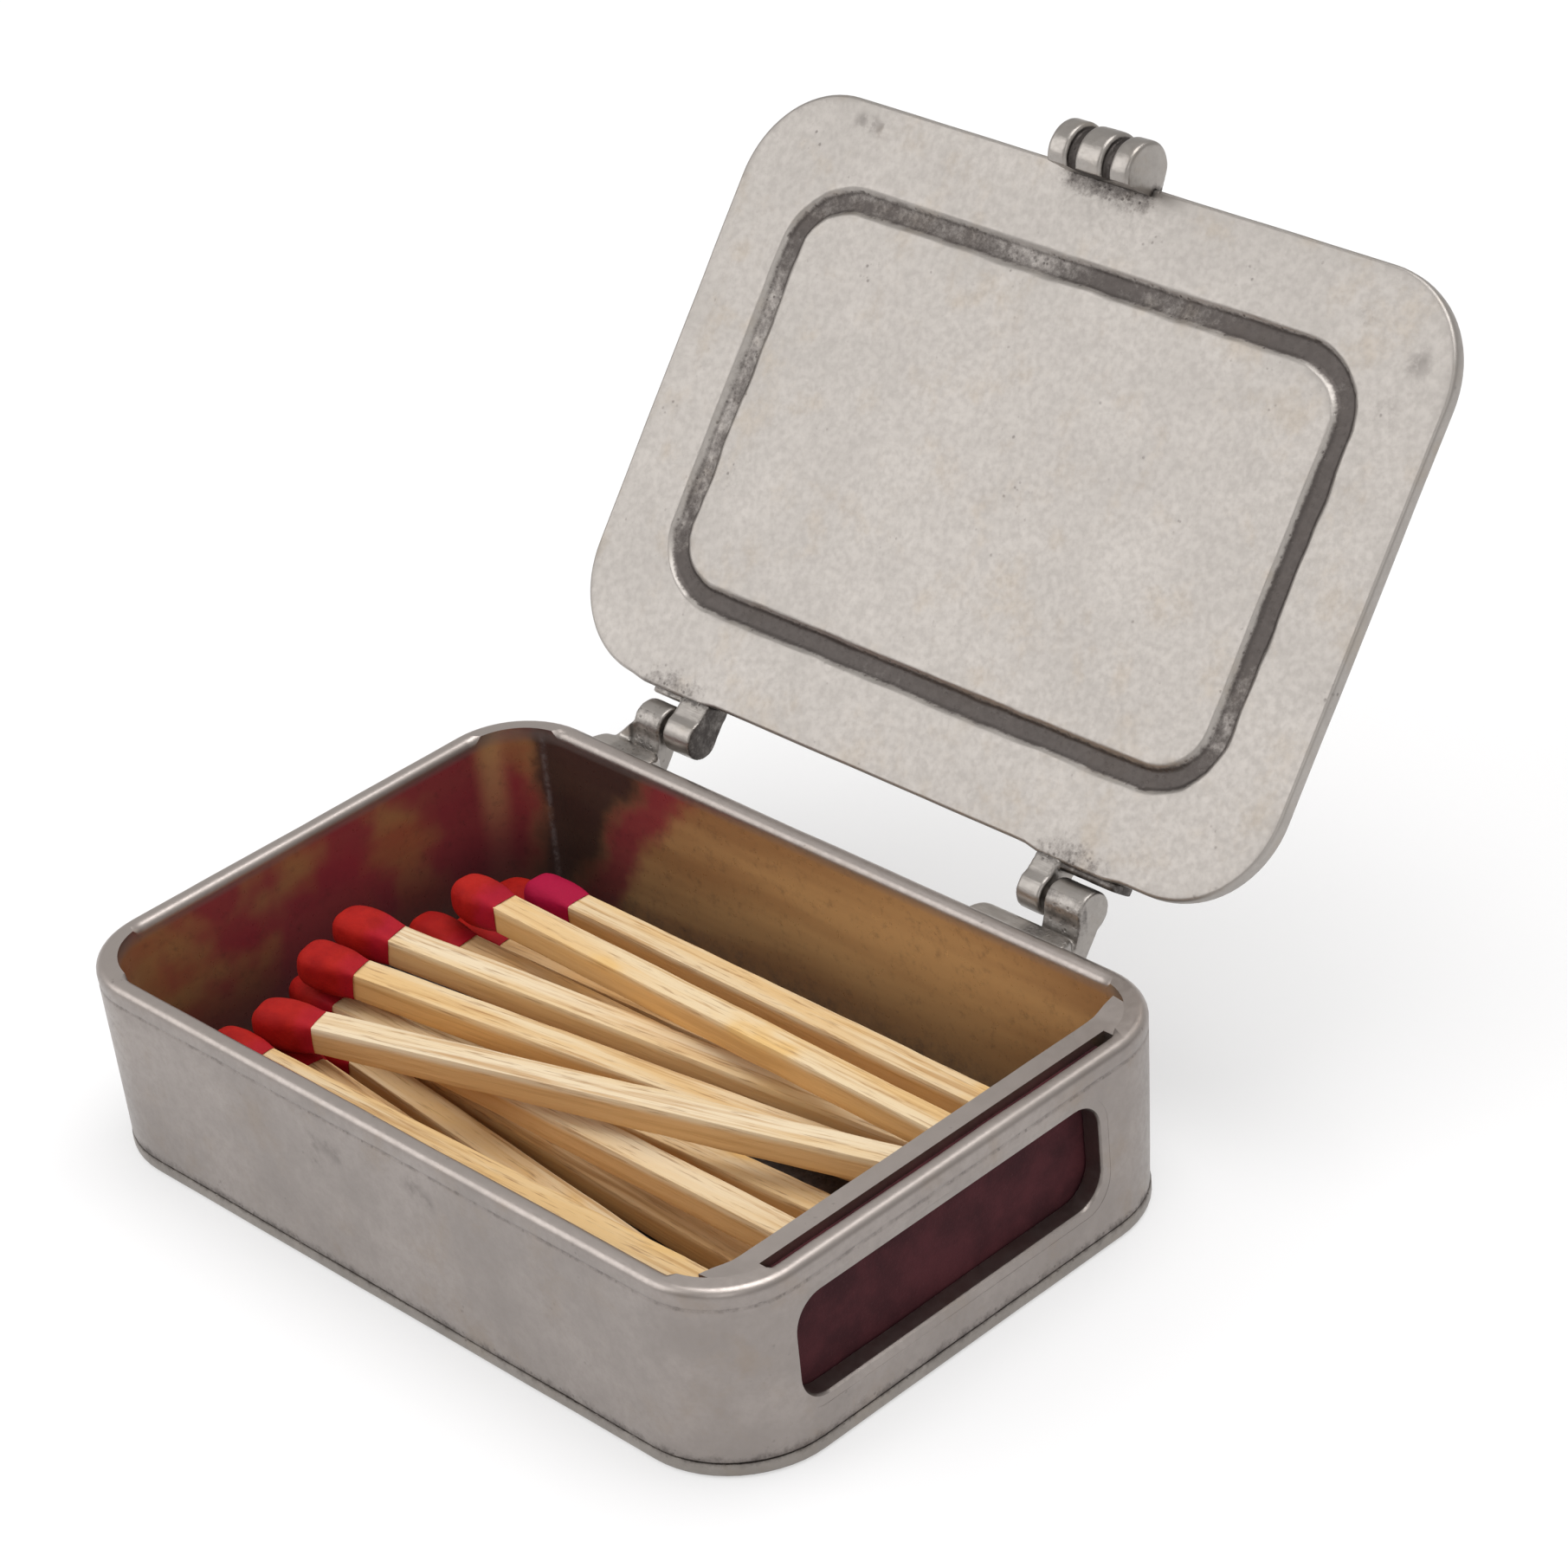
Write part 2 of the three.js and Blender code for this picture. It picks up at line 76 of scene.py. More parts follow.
def activate(piece):
    bpy.ops.object.select_all(action="DESELECT")
    piece.select_set(True)
    bpy.context.view_layer.objects.active = piece


def openEdit(piece, mode="FACE"):
    activate(piece)
    bpy.ops.object.mode_set(mode="EDIT")
    bpy.ops.mesh.select_mode(type=mode)
    bpy.ops.mesh.select_all(action="DESELECT")


def closeEdit():
    bpy.ops.object.mode_set(mode="OBJECT")


def pick(piece, test, kind="faces"):
    # selects the faces, edges or vertices that pass a test, in edit mode
    mesh = bmesh.from_edit_mesh(piece.data)
    for part in [part for part in getattr(mesh, kind) if test(part)]:
        part.select_set(True)
    mesh.select_flush_mode()
    bmesh.update_edit_mesh(piece.data)


def shiftVerts(piece, test, by):
    openEdit(piece, "VERT")
    pick(piece, test, "verts")
    bpy.ops.transform.translate(value=by)
    closeEdit()


def scaleVerts(piece, test, by, centre):
    openEdit(piece, "VERT")
    pick(piece, test, "verts")
    bpy.ops.transform.resize(value=by, center_override=centre)
    closeEdit()


def reshape(piece, change):
    # moves each vertex by a rule of its own
    openEdit(piece, "VERT")
    mesh = bmesh.from_edit_mesh(piece.data)
    for vert in mesh.verts:
        change(vert)
    bmesh.update_edit_mesh(piece.data)
    closeEdit()


def middleOf(edge):
    return (edge.verts[0].co + edge.verts[1].co) / 2


def alongOf(edge):
    return (edge.verts[1].co - edge.verts[0].co).normalized()


def nearValue(value, target):
    return abs(value - target) < 0.02 * mm


def runsAlong(axis):
    # a test for the edges that run along x, y or z
    return lambda edge: abs(getattr(alongOf(edge), axis)) > 0.9


def levelAt(z):
    # a test for the level edges at one height
    return lambda edge: abs(alongOf(edge).z) < 0.1 and nearValue(middleOf(edge).z, z)


def takeNew(name):
    # names the new primitive, and puts its place and size into its mesh
    piece = bpy.context.object
    piece.name = name
    piece.data.name = name
    bpy.ops.object.transform_apply(location=True, rotation=True, scale=True)
    return piece


def addBlock(name, low, high):
    low, high = Vector(low), Vector(high)
    bpy.ops.mesh.primitive_cube_add(size=1, location=(low + high) / 2, scale=high - low)
    return takeNew(name)


def addRod(name, radius, fromX, toX, y, z, sides=48):
    bpy.ops.mesh.primitive_cylinder_add(
        vertices=sides, radius=radius, depth=toX - fromX,
        location=((fromX + toX) / 2, y, z), rotation=(0, math.pi / 2, 0),
    )
    return takeNew(name)


def bevelEdges(piece, test, width, cuts):
    openEdit(piece, "EDGE")
    pick(piece, test, "edges")
    bpy.ops.mesh.bevel(offset=width, segments=cuts, profile=0.5, affect="EDGES", clamp_overlap=False)
    closeEdit()


def bisectAll(piece, places, axis):
    # cuts the whole mesh at each place along X, Y or Z
    normal = Vector((0, 0, 0))
    normal[axis] = 1
    openEdit(piece)
    for place in places:
        bpy.ops.mesh.select_all(action="SELECT")
        bpy.ops.mesh.bisect(plane_co=normal * place, plane_no=normal)
    closeEdit()


def spread(low, high, step):
    # evenly spaced places between two ends, both ends left out
    count = max(1, round((high - low) / step))
    return [low + (high - low) * index / count for index in range(1, count)]


def applyModifier(piece, kind, **settings):
    activate(piece)
    modifier = piece.modifiers.new(kind.lower(), kind)
    for setting, value in settings.items():
        setattr(modifier, setting, value)
    bpy.ops.object.modifier_apply(modifier=modifier.name)


def cutWith(piece, cutter):
    applyModifier(piece, "BOOLEAN", operation="DIFFERENCE", object=cutter, solver="EXACT")
    bpy.data.objects.remove(cutter)


def markGroup(piece, name, weightOf):
    # a vertex group whose weight comes from each vertex's place
    group = piece.vertex_groups.new(name=name)
    for vert in piece.data.vertices:
        weight = weightOf(vert.co)
        if weight > 0:
            group.add([vert.index], min(1, weight), "REPLACE")


def roughen(piece, *layers, direction="NORMAL", group=""):
    # pushes the surface in and out as hand work leaves it, by clouds of a size and a depth in millimetres
    for size, depth in layers:
        texture = bpy.data.textures.new(f"{piece.name}_{size:.1f}", "CLOUDS")
        texture.noise_scale = size * mm
        texture.noise_depth = 1
        applyModifier(
            piece, "DISPLACE", texture=texture, strength=depth * mm, mid_level=0.5,
            direction=direction, texture_coords="LOCAL", vertex_group=group,
        )


def paint(piece, name, valueOf):
    # a value from each vertex's place, which the materials read
    values = [valueOf(vert.co) for vert in piece.data.vertices]
    layer = piece.data.attributes.new(name, "FLOAT", "POINT")
    layer.data.foreach_set("value", values)


def paintPewter(piece, patinaOf, insideOf=lambda co: 0.0):
    # patina is 1 in the dark film and below 0 on rubbed metal with a painted highlight; inside is 1 on the
    # inner walls, where reflections and shade are painted
    paint(piece, "patina", patinaOf)
    paint(piece, "inside", insideOf)


def smooth(low, high, value):
    share = min(1, max(0, (value - low) / (high - low)))
    return share * share * (3 - 2 * share)


def finishPiece(piece, material, body, nodes, smoothAngle=38):
    activate(piece)
    bpy.ops.object.shade_smooth_by_angle(angle=math.radians(smoothAngle))
    piece.data.materials.clear()
    piece.data.materials.append(material)
    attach(piece, body)
    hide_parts(*nodes)


# Node helpers

def setInputs(node, inputs):
    # an input is a plain value, or a signal from another node
    for socket, value in inputs.items():
        if isinstance(value, Signal):
            node.id_data.links.new(value.socket, node.inputs[socket])
        else:
            node.inputs[socket].default_value = value


def addNode(tree, kind, inputs, **settings):
    node = tree.nodes.new(f"ShaderNode{kind}")
    for setting, value in settings.items():
        setattr(node, setting, value)
    setInputs(node, inputs)
    return node


class Signal:
    # one output of a node; sums, products and the calls below add the nodes that follow it
    def __init__(self, node, output=0):
        self.tree = node.id_data
        self.socket = node.outputs[output]

    def feed(self, kind, output, inputs, **settings):
        return Signal(addNode(self.tree, kind, inputs, **settings), output)

    def math(self, operation, first, second):
        return self.feed("Math", 0, {0: first, 1: second}, operation=operation)

    def __add__(self, other):
        return self.math("ADD", self, other)

    def __sub__(self, other):
        return self.math("SUBTRACT", self, other)

    def __rsub__(self, other):
        return self.math("SUBTRACT", other, self)

    def __mul__(self, other):
        return self.math("MULTIPLY", self, other)

    def orMore(self, other):
        return self.math("MAXIMUM", self, other)

    def ramp(self, fromLow, fromHigh, toLow=0.0, toHigh=1.0):
        inputs = {"Value": self, "From Min": fromLow, "From Max": fromHigh, "To Min": toLow, "To Max": toHigh}
        return self.feed("MapRange", "Result", inputs, interpolation_type="SMOOTHSTEP")

    def band(self, low, high, soft):
        # one between two values, fading out on both sides
        return self.ramp(low - soft, low + soft) * self.ramp(high + soft, high - soft)

    def mix(self, first, second):
        # the signal is the second colour's share
        colours = [value if isinstance(value, Signal) else (*value, 1) for value in (first, second)]
        return self.feed("Mix", 2, {"Factor": self, 6: colours[0], 7: colours[1]}, data_type="RGBA")

    def noise(self, scale, detail, rough, distortion=0.0):
        inputs = {"Vector": self, "Scale": scale, "Detail": detail, "Roughness": rough}
        return self.feed("TexNoise", "Fac", {**inputs, "Distortion": distortion})

    def stretch(self, scale, turn=(0, 0, 0)):
        return self.feed("Mapping", "Vector", {"Vector": self, "Scale": scale, "Rotation": turn})

    def split(self):
        node = addNode(self.tree, "SeparateXYZ", {"Vector": self})
        return [Signal(node, axis) for axis in "XYZ"]


def read(tree, kind, output, **settings):
    return Signal(addNode(tree, kind, {}, **settings), output)


def tint(tone, colour, value, low, high, most=1.0):
    # mixes a colour into the tone as a value passes from low to high
    return value.ramp(low, high, 0.0, most).mix(tone, colour)


def clearTree(owner):
    # the empty node tree of a material or a world
    owner.use_nodes = True
    owner.node_tree.nodes.clear()
    return owner.node_tree


def startMaterial(name):
    material = bpy.data.materials.new(name)
    tree = clearTree(material)
    shader = addNode(tree, "BsdfPrincipled", {})
    addNode(tree, "OutputMaterial", {"Surface": Signal(shader)})
    return material, tree, shader


def finishMaterial(shader, inputs, height, strength, distance):
    # what the shader gets, and the bumps of its surface
    bump = {"Height": height, "Strength": strength, "Distance": distance}
    setInputs(shader, {**inputs, "Normal": height.feed("Bump", 0, bump)})


# Pewter: one recipe, set differently for each piece

pewterLooks = {
    "body": {"colour": (0.325, 0.290, 0.270), "film": (0.07, 0.058, 0.053), "filmShare": 0.8,
             "rough": 0.37, "mottle": 0.11, "pits": 0.5, "filed": 0.12},
    "lid": {"colour": (0.415, 0.387, 0.362), "film": (0.085, 0.072, 0.068), "filmShare": 0.88,
            "rough": 0.45, "mottle": 0.05, "pits": 0.55, "filed": 0.0},
    "fitting": {"colour": (0.36, 0.335, 0.312), "film": (0.045, 0.038, 0.036), "filmShare": 0.9,
                "rough": 0.35, "mottle": 0.12, "pits": 0.6, "filed": 0.8},
    "base": {"colour": (0.315, 0.287, 0.263), "film": (0.07, 0.058, 0.053), "filmShare": 0.7,
             "rough": 0.4, "mottle": 0.12, "pits": 0.4, "filed": 0.25},
}
# small stains, each with its place and its reach in millimetres
stains = {
    "body": [((-6.8, -23.2, 11.6), 1.5), ((-5.2, -23.2, 12.0), 1.3), ((-4.0, -23.2, 11.6), 1.2),
             ((-6.5, -23.2, 10.2), 1.1), ((4.3, -23.2, 12.6), 1.5), ((5.6, -23.2, 12.0), 1.2),
             ((33.6, -22.4, 13.2), 1.5), ((36.5, -20.6, 12.3), 1.0)],
    "lid": [((-24.4, 56.0, 55.8), 1.2), ((-23.4, 56.0, 55.8), 1.2), ((-22.4, 55.9, 55.7), 1.2),
            ((26.6, 54.6, 53.9), 1.2), ((32.2, 53.3, 52.3), 1.7), ((31.1, 50.7, 49.0), 1.5)],
}
# the inner walls, painted with the reflections of the matches: brown and gold from the wood all over,
# reflected red from the heads and painted shade near the match heads, and painted highlights by the back left
# corner
innerLooks = {
    "gold": (0.56, 0.335, 0.145),
    "brown": (0.36, 0.190, 0.080),
    "russet": (0.33, 0.11, 0.058),
    "reflectedRed": (0.27, 0.024, 0.05),
    "cornerShade": (0.040, 0.022, 0.026),
    "shade": (0.045, 0.022, 0.018),
    "cornerHighlight": (0.42, 0.38, 0.38),
}
# where their marks lie in millimetres, along the left and the back wall or up them:
# two values are a fade from one to the other, three a band with the softness of its ends
innerMarks = {
    "start": 33.4,  # from the count's first millimetre to the middle of the box
    "wander": 9,  # how far the marks stray
    "lean": 0.73,  # how far they lean for each millimetre up
    "corner": (20, 26),
    "brownStreak": (13.9, 15.3, 0.5),
    "paintedLightBack": (59, 76, 9),
    "shadedFarEnd": (78, 88),
    "reflectedRedFoot": (9, 4),
    "highlightStripe": (17.2, 19.8, 1.1),
    "cornerShadeFrom": (21.5, 24),
    "cornerShadeTo": (27.5, 23),
    "reflectedRedBand": (25.2, 29.8, 1.6),
    "reflectedRedFrom": (21, 25),
    "darkFoot": (9.5, 2),
    "darkEnd": (40, 20),
    "cornerHighlight": (24.3, 24.6, 0.4),
}


def innerTone(place):
    # straight counts along the left wall, through the corner and along the back wall, and around wavers
    looks, marks = innerLooks, innerMarks
    x, y, z = place.split()
    straight = (x + y) * 1000 + marks["start"]
    height = z * 1000
    grain = place.noise(1100, 4, 0.7)
    bands = place.stretch((26, 50, 240)).noise(1.0, 3, 0.55)
    around = straight + (place.noise(130, 4, 0.6) - 0.5) * marks["wander"]
    slanted = around - height * marks["lean"]

    # painted reflection of the wooden matches: gold and brown streaks on the back wall, russet and brown on
    # the left wall
    back = tint(looks["gold"], looks["brown"], bands, 0.34, 0.66)
    back = (height.band(*marks["brownStreak"]) * 0.55).mix(back, looks["brown"])
    # a painted pool of light on the far part of the back wall
    back = (straight.band(*marks["paintedLightBack"]) * 0.5).mix(back, looks["gold"])
    # painted shade at the far end, by the right wall
    back = tint(back, looks["brown"], straight, *marks["shadedFarEnd"], 0.6)
    left = tint(looks["russet"], looks["brown"], bands, 0.36, 0.64)
    # painted reflection of the red heads, in patches and low on the left wall
    left = tint(left, looks["reflectedRed"], place.noise(88, 3, 0.5), 0.43, 0.57, 0.85)
    left = tint(left, looks["reflectedRed"], height, *marks["reflectedRedFoot"], 0.6)
    tone = tint(left, back, around, *marks["corner"])

    # painted marks laid over the walls one by one, each as the share of its colour: a highlight stripe, shade
    # by the corner, reflected red, shade at the foot and a highlight in the corner
    # a painted highlight: a soft upright stripe by the back left corner
    stripeHighlight = straight.band(*marks["highlightStripe"]) * height.ramp(5, 13, 0.1, 0.6)
    # painted shade in a band leaning up from the back left corner
    cornerShade = slanted.ramp(*marks["cornerShadeTo"], 0.0, 0.9) * around.ramp(*marks["cornerShadeFrom"])
    # the reflected red of the heads, painted in a leaning band by the corner
    red = slanted.band(*marks["reflectedRedBand"]) * around.ramp(*marks["reflectedRedFrom"], 0.0, 0.85)
    shade = height.ramp(*marks["darkFoot"]) * around.ramp(*marks["darkEnd"], 0.1, 0.7)
    # a thin painted highlight along the back left corner
    cornerHighlight = straight.band(*marks["cornerHighlight"]) * grain.ramp(0.4, 0.6, 0.1, 0.55)
    marked = ((stripeHighlight, "gold"), (cornerShade, "cornerShade"), (red, "reflectedRed"), (shade, "shade"), (cornerHighlight, "cornerHighlight"))
    for share, look in marked:
        tone = share.mix(tone, looks[look])
    return tint(tone, looks["shade"], grain, 0.5, 0.8, 0.35)


def pewter(name, look, spots=()):
    material, tree, shader = startMaterial(name)
    place = read(tree, "TexCoord", "Object")
    patina = read(tree, "Attribute", "Fac", attribute_name="patina")
    inside = read(tree, "Attribute", "Fac", attribute_name="inside")
    outside = 1 - inside

    # broad cloudy tone and a fine grain, faintly brown in places
    grain = place.noise(1700, 4, 0.7)
    low = tuple(part * (1 - look["mottle"]) for part in look["colour"])
    high = tuple(min(1, part * (1 + look["mottle"])) for part in look["colour"])
    brown = tuple(part * warmth for part, warmth in zip(look["colour"], (0.93, 0.86, 0.76)))
    tone = tint(low, high, place.noise(130, 5, 0.62), 0.3, 0.7)
    tone = tint(tone, low, grain, 0.35, 0.75, 0.4)
    tone = tint(tone, brown, place.noise(230, 4, 0.65), 0.5, 0.75, 0.5)

    # small pits and faint smudges in loose clusters
    breakUp = place.noise(1000, 5, 0.75)
    dot = place.feed("TexVoronoi", "Distance", {"Vector": place, "Scale": 1900}).ramp(0.34, 0.14)
    cluster = place.noise(300, 4, 0.65).ramp(0.60, 0.72, 0.0, look["pits"])
    smudge = place.noise(420, 5, 0.75).ramp(0.66, 0.76, 0.0, 0.5) * cluster * outside
    pits = dot * cluster.orMore(patina.ramp(0.15, 0.6)) * outside

    blots = place.noise(620, 4, 0.6).ramp(0.4, 0.58)
    for centre, reach in spots:
        centre = [part * mm for part in centre]
        away = place.feed("VectorMath", "Value", {0: place, 1: centre}, operation="DISTANCE")
        smudge = smudge.orMore(away.ramp(reach * mm, 0.0) * blots * 0.42)

    # the dark film that stays in the hollows, broken up by rubbing
    film = (patina + (breakUp - 0.5) * 1.1).ramp(0.2, 0.85) * patina.ramp(0.0, 0.12)
    dark = film.orMore(pits * 0.9).orMore(smudge)
    # a patina below none is metal rubbed bright, with a painted highlight on the crests
    rubbedHighlight = tuple(min(1, part * 1.5) for part in look["colour"])
    tone = tint(tone, rubbedHighlight, patina, 0.0, -1.0)
    tone = inside.mix(tone, innerTone(place))
    tone = (dark * look["filmShare"]).mix(tone, look["film"])

    # satin, duller on the film; the inner walls, where reflections and shade are painted, are smoother and
    # hardly metallic
    rough = grain.ramp(0.3, 0.7, look["rough"] - 0.04, look["rough"] + 0.05) - inside * 0.06 + dark * 0.12
    strokes = place.stretch((300, 3600, 700), (0.0, 0.0, 0.5)).noise(1.0, 3, 0.7)
    height = strokes * look["filed"] + grain * 0.35 - pits * 0.9 + breakUp * film * 1.3
    inputs = {"Base Color": tone, "Roughness": rough, "Metallic": 1 - inside * 0.8}
    finishMaterial(shader, inputs, height, 0.4, 0.00006)
    return material


bodyPewter = pewter("satinPewterBody", pewterLooks["body"], stains["body"])
lidPewter = pewter("satinPewterLid", pewterLooks["lid"], stains["lid"])
fittingPewter = pewter("filedPewter", pewterLooks["fitting"])
basePewter = pewter("satinPewterBase", pewterLooks["base"])
print("pewter ready")


# Box wall

wall = {
    "footCorner": 8.2 * mm,
    "rimCorner": 6.9 * mm,
    "cornerCuts": 14,
    "thickness": 1.7 * mm,
    "rimRounding": 0.72 * mm,
    "lipDrop": 1.5 * mm,
    "lipDepth": 0.09 * mm,
    "lipWidth": 0.22 * mm,
    "seamRounding": 0.16 * mm,
    "grid": 1.0 * mm,
    "windowFront": -16.4 * mm,
    "windowBack": 13.5 * mm,
    "windowLow": 4.35 * mm,
    "windowHigh": 12.8 * mm,
    "windowCorner": 2.5 * mm,
    "windowFillet": 0.4 * mm,
    "leftLeafHalf": 3 * mm,
    "rightLeafHalf": 4.5 * mm,
}


def taperCorners(piece):
    # draws each corner's top arc in to the smaller radius
    reach = wall["footCorner"] + 0.01 * mm
    ratio = wall["rimCorner"] / wall["footCorner"]
    for signX in (-1, 1):
        for signY in (-1, 1):
            def inCorner(vert):
                nearX = signX * vert.co.x > endX - reach
                nearY = signY * vert.co.y > wallY - reach
                return nearX and nearY and nearValue(vert.co.z, rimZ)
            scaleVerts(piece, inCorner, (ratio, ratio, 1), (signX * endX, signY * wallY, rimZ))


def windowCutter():
    reach = 1.2 * mm
    front, back, low, high = (wall[f"window{side}"] for side in ("Front", "Back", "Low", "High"))
    cutter = addBlock("cutter", (endX - wall["thickness"] - reach, front, low), (endX + reach, back, high))
    bevelEdges(cutter, runsAlong("x"), wall["windowCorner"], 10)
    fillet = wall["windowFillet"]
    steps = 6
    middle = (0, (back + front) / 2, (high + low) / 2)
    depths = [fillet * (1 - math.sin(step / steps * math.pi / 2)) for step in range(steps + 1)]
    bisectAll(cutter, [endX - depth for depth in depths], 0)
    for step, depth in enumerate(depths):
        growth = 2 * fillet * (1 - math.cos(step / steps * math.pi / 2))
        last = step == steps
        scaleVerts(
            cutter, lambda vert: nearValue(vert.co.x, endX - depth) or (last and vert.co.x > endX),
            (1, 1 + growth / (back - front), 1 + growth / (high - low)), middle,
        )
    return cutter


def isOuter(co, slack=0.75 * mm):
    # whether a point lies on the outer shell of the wall
    radius = wall["footCorner"] - 0.6 * mm
    overX = abs(co.x) - (endX - radius)
    overY = abs(co.y) - (wallY - radius)
    if overX > 0 and overY > 0:
        return math.hypot(overX, overY) > radius - slack
    return abs(co.x) > endX - slack or abs(co.y) > wallY - slack


def innerShare(co):
    # one on the inner walls, none on the outside and on the crest of the rim
    margin = 0.5 * mm
    inWindow = (
        co.x > endX - wall["thickness"] - margin
        and wall["windowFront"] - margin < co.y < wall["windowBack"] + margin
        and wall["windowLow"] - margin < co.z < wall["windowHigh"] + margin
    )
    if inWindow or isOuter(co, 1.2 * mm):
        return 0.0
    return 1 - smooth(rimZ - 1.15 * mm, rimZ - 0.35 * mm, co.z)


def makeBoxWall():
    piece = addBlock("box_wall_shell", wallLow, wallHigh)
    bevelEdges(piece, runsAlong("z"), wall["footCorner"], wall["cornerCuts"])
    openEdit(piece)
    pick(piece, lambda face: abs(face.normal.z) > 0.9)
    bpy.ops.mesh.delete(type="ONLY_FACE")
    closeEdit()
    taperCorners(piece)
    applyModifier(piece, "SOLIDIFY", thickness=wall["thickness"], offset=-1, use_even_offset=True)

    def atTurn(edge, z, facing):
        # whether an edge lies where a side turns into the level face at a height
        flats = [face.normal.z * facing > 0.9 for face in edge.link_faces]
        return levelAt(z)(edge) and True in flats and False in flats
    bevelEdges(piece, lambda edge: atTurn(edge, rimZ, 1), wall["rimRounding"], 6)
    bevelEdges(
        piece, lambda edge: atTurn(edge, baseTop, -1) and isOuter(middleOf(edge), 0.5 * mm),
        wall["seamRounding"], 3,
    )

    lipZ = rimZ - wall["lipDrop"]
    lipWidth = wall["lipWidth"]
    grid = wall["grid"]
    lipRows = [lipZ - lipWidth, lipZ - lipWidth / 2, lipZ, lipZ + lipWidth / 2, lipZ + lipWidth]
    bisectAll(piece, lipRows + spread(baseTop + 0.2 * mm, lipZ - 0.3 * mm, grid), 2)
    bisectAll(piece, spread(-endX + wall["footCorner"], endX - wall["footCorner"], grid), 0)
    bisectAll(piece, spread(-wallY + wall["footCorner"], wallY - wall["footCorner"], grid), 1)

    def scribe(vert):
        # the line below the rim, of uneven depth
        share = 1 - abs(vert.co.z - lipZ) / lipWidth
        if share > 0.01 and isOuter(vert.co, 0.4 * mm):
            uneven = 0.8 + 0.45 * noise.noise(vert.co * 90)
            vert.co -= vert.normal * wall["lipDepth"] * uneven * min(1, share * 1.2)
    reshape(piece, scribe)
    cutWith(piece, windowCutter())
    roughen(piece, (9, 0.10), (2.2, 0.02))

    def wallPatina(co):
        value = 0.0
        if isOuter(co):
            value = max(value, 0.4 * (1 - smooth(0.04 * mm, 0.36 * mm, abs(co.z - lipZ))))
            value = max(value, 0.75 * (1 - smooth(0.05 * mm, 0.4 * mm, co.z - baseTop)))
        elif co.z < rimZ - mm:
            value = max(value, 0.4 * (1 - smooth(0.2 * mm, 4 * mm, co.z - baseTop)))
        if co.y > wallY - 0.6 * mm and co.z > rimZ - 3 * mm:
            left, right = (abs(co.x - middle) for middle in hingeMiddles)
            beside = min(left - wall["leftLeafHalf"], right - wall["rightLeafHalf"])
            value = max(value, 0.4 * (1 - smooth(0, 1.5 * mm, beside)))
        if value == 0:
            # the crest of the rim: rubbed bright, with a painted highlight
            value = -0.7 * smooth(rimZ - 0.45 * mm, rimZ - 0.05 * mm, co.z)
        return value
    paintPewter(piece, wallPatina, innerShare)
    finishPiece(piece, bodyPewter, "box", ["box_wall"])
    applyModifier(piece, "WEIGHTED_NORMAL", weight=60, keep_sharp=True)


makeBoxWall()
print("box wall made")


# Base plate

base = {"corner": 8.25 * mm, "cuts": 14, "rounding": 0.45 * mm, "topRounding": 0.14 * mm, "grid": 2.5 * mm}


def makeBasePlate():
    low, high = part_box("base_plate")
    piece = addBlock("base_plate_sheet", low, high)
    bevelEdges(piece, runsAlong("z"), base["corner"], base["cuts"])
    for z, rounding, cuts in ((low.z, base["rounding"], 4), (high.z, base["topRounding"], 2)):
        bevelEdges(piece, levelAt(z), rounding, cuts)
    bisectAll(piece, spread(low.x + base["corner"], high.x - base["corner"], base["grid"]), 0)
    bisectAll(piece, spread(low.y + base["corner"], high.y - base["corner"], base["grid"]), 1)
    roughen(piece, (6, 0.05))
    paintPewter(piece, lambda co: 0.6 * smooth(high.z - 0.35 * mm, high.z, co.z))
    finishPiece(piece, basePewter, "box", ["base_plate"])


makeBasePlate()
print("base plate made")


# Striker partition and card

striker = {
    "cornerFoot": 2.112 * mm,
    "pocketEnd": 17.0 * mm,
    "topRounding": 0.6 * mm,
    "topRise": 0.15 * mm,
    "topFattening": 0.16 * mm,
    "swellFrom": 17.3 * mm,
    "swellTo": 20.6 * mm,
    "swellOut": 0.55 * mm,
    "swellUp": 0.2 * mm,
    "cardGrid": 1.0 * mm,
    "cardBow": (12, 0.12),
}


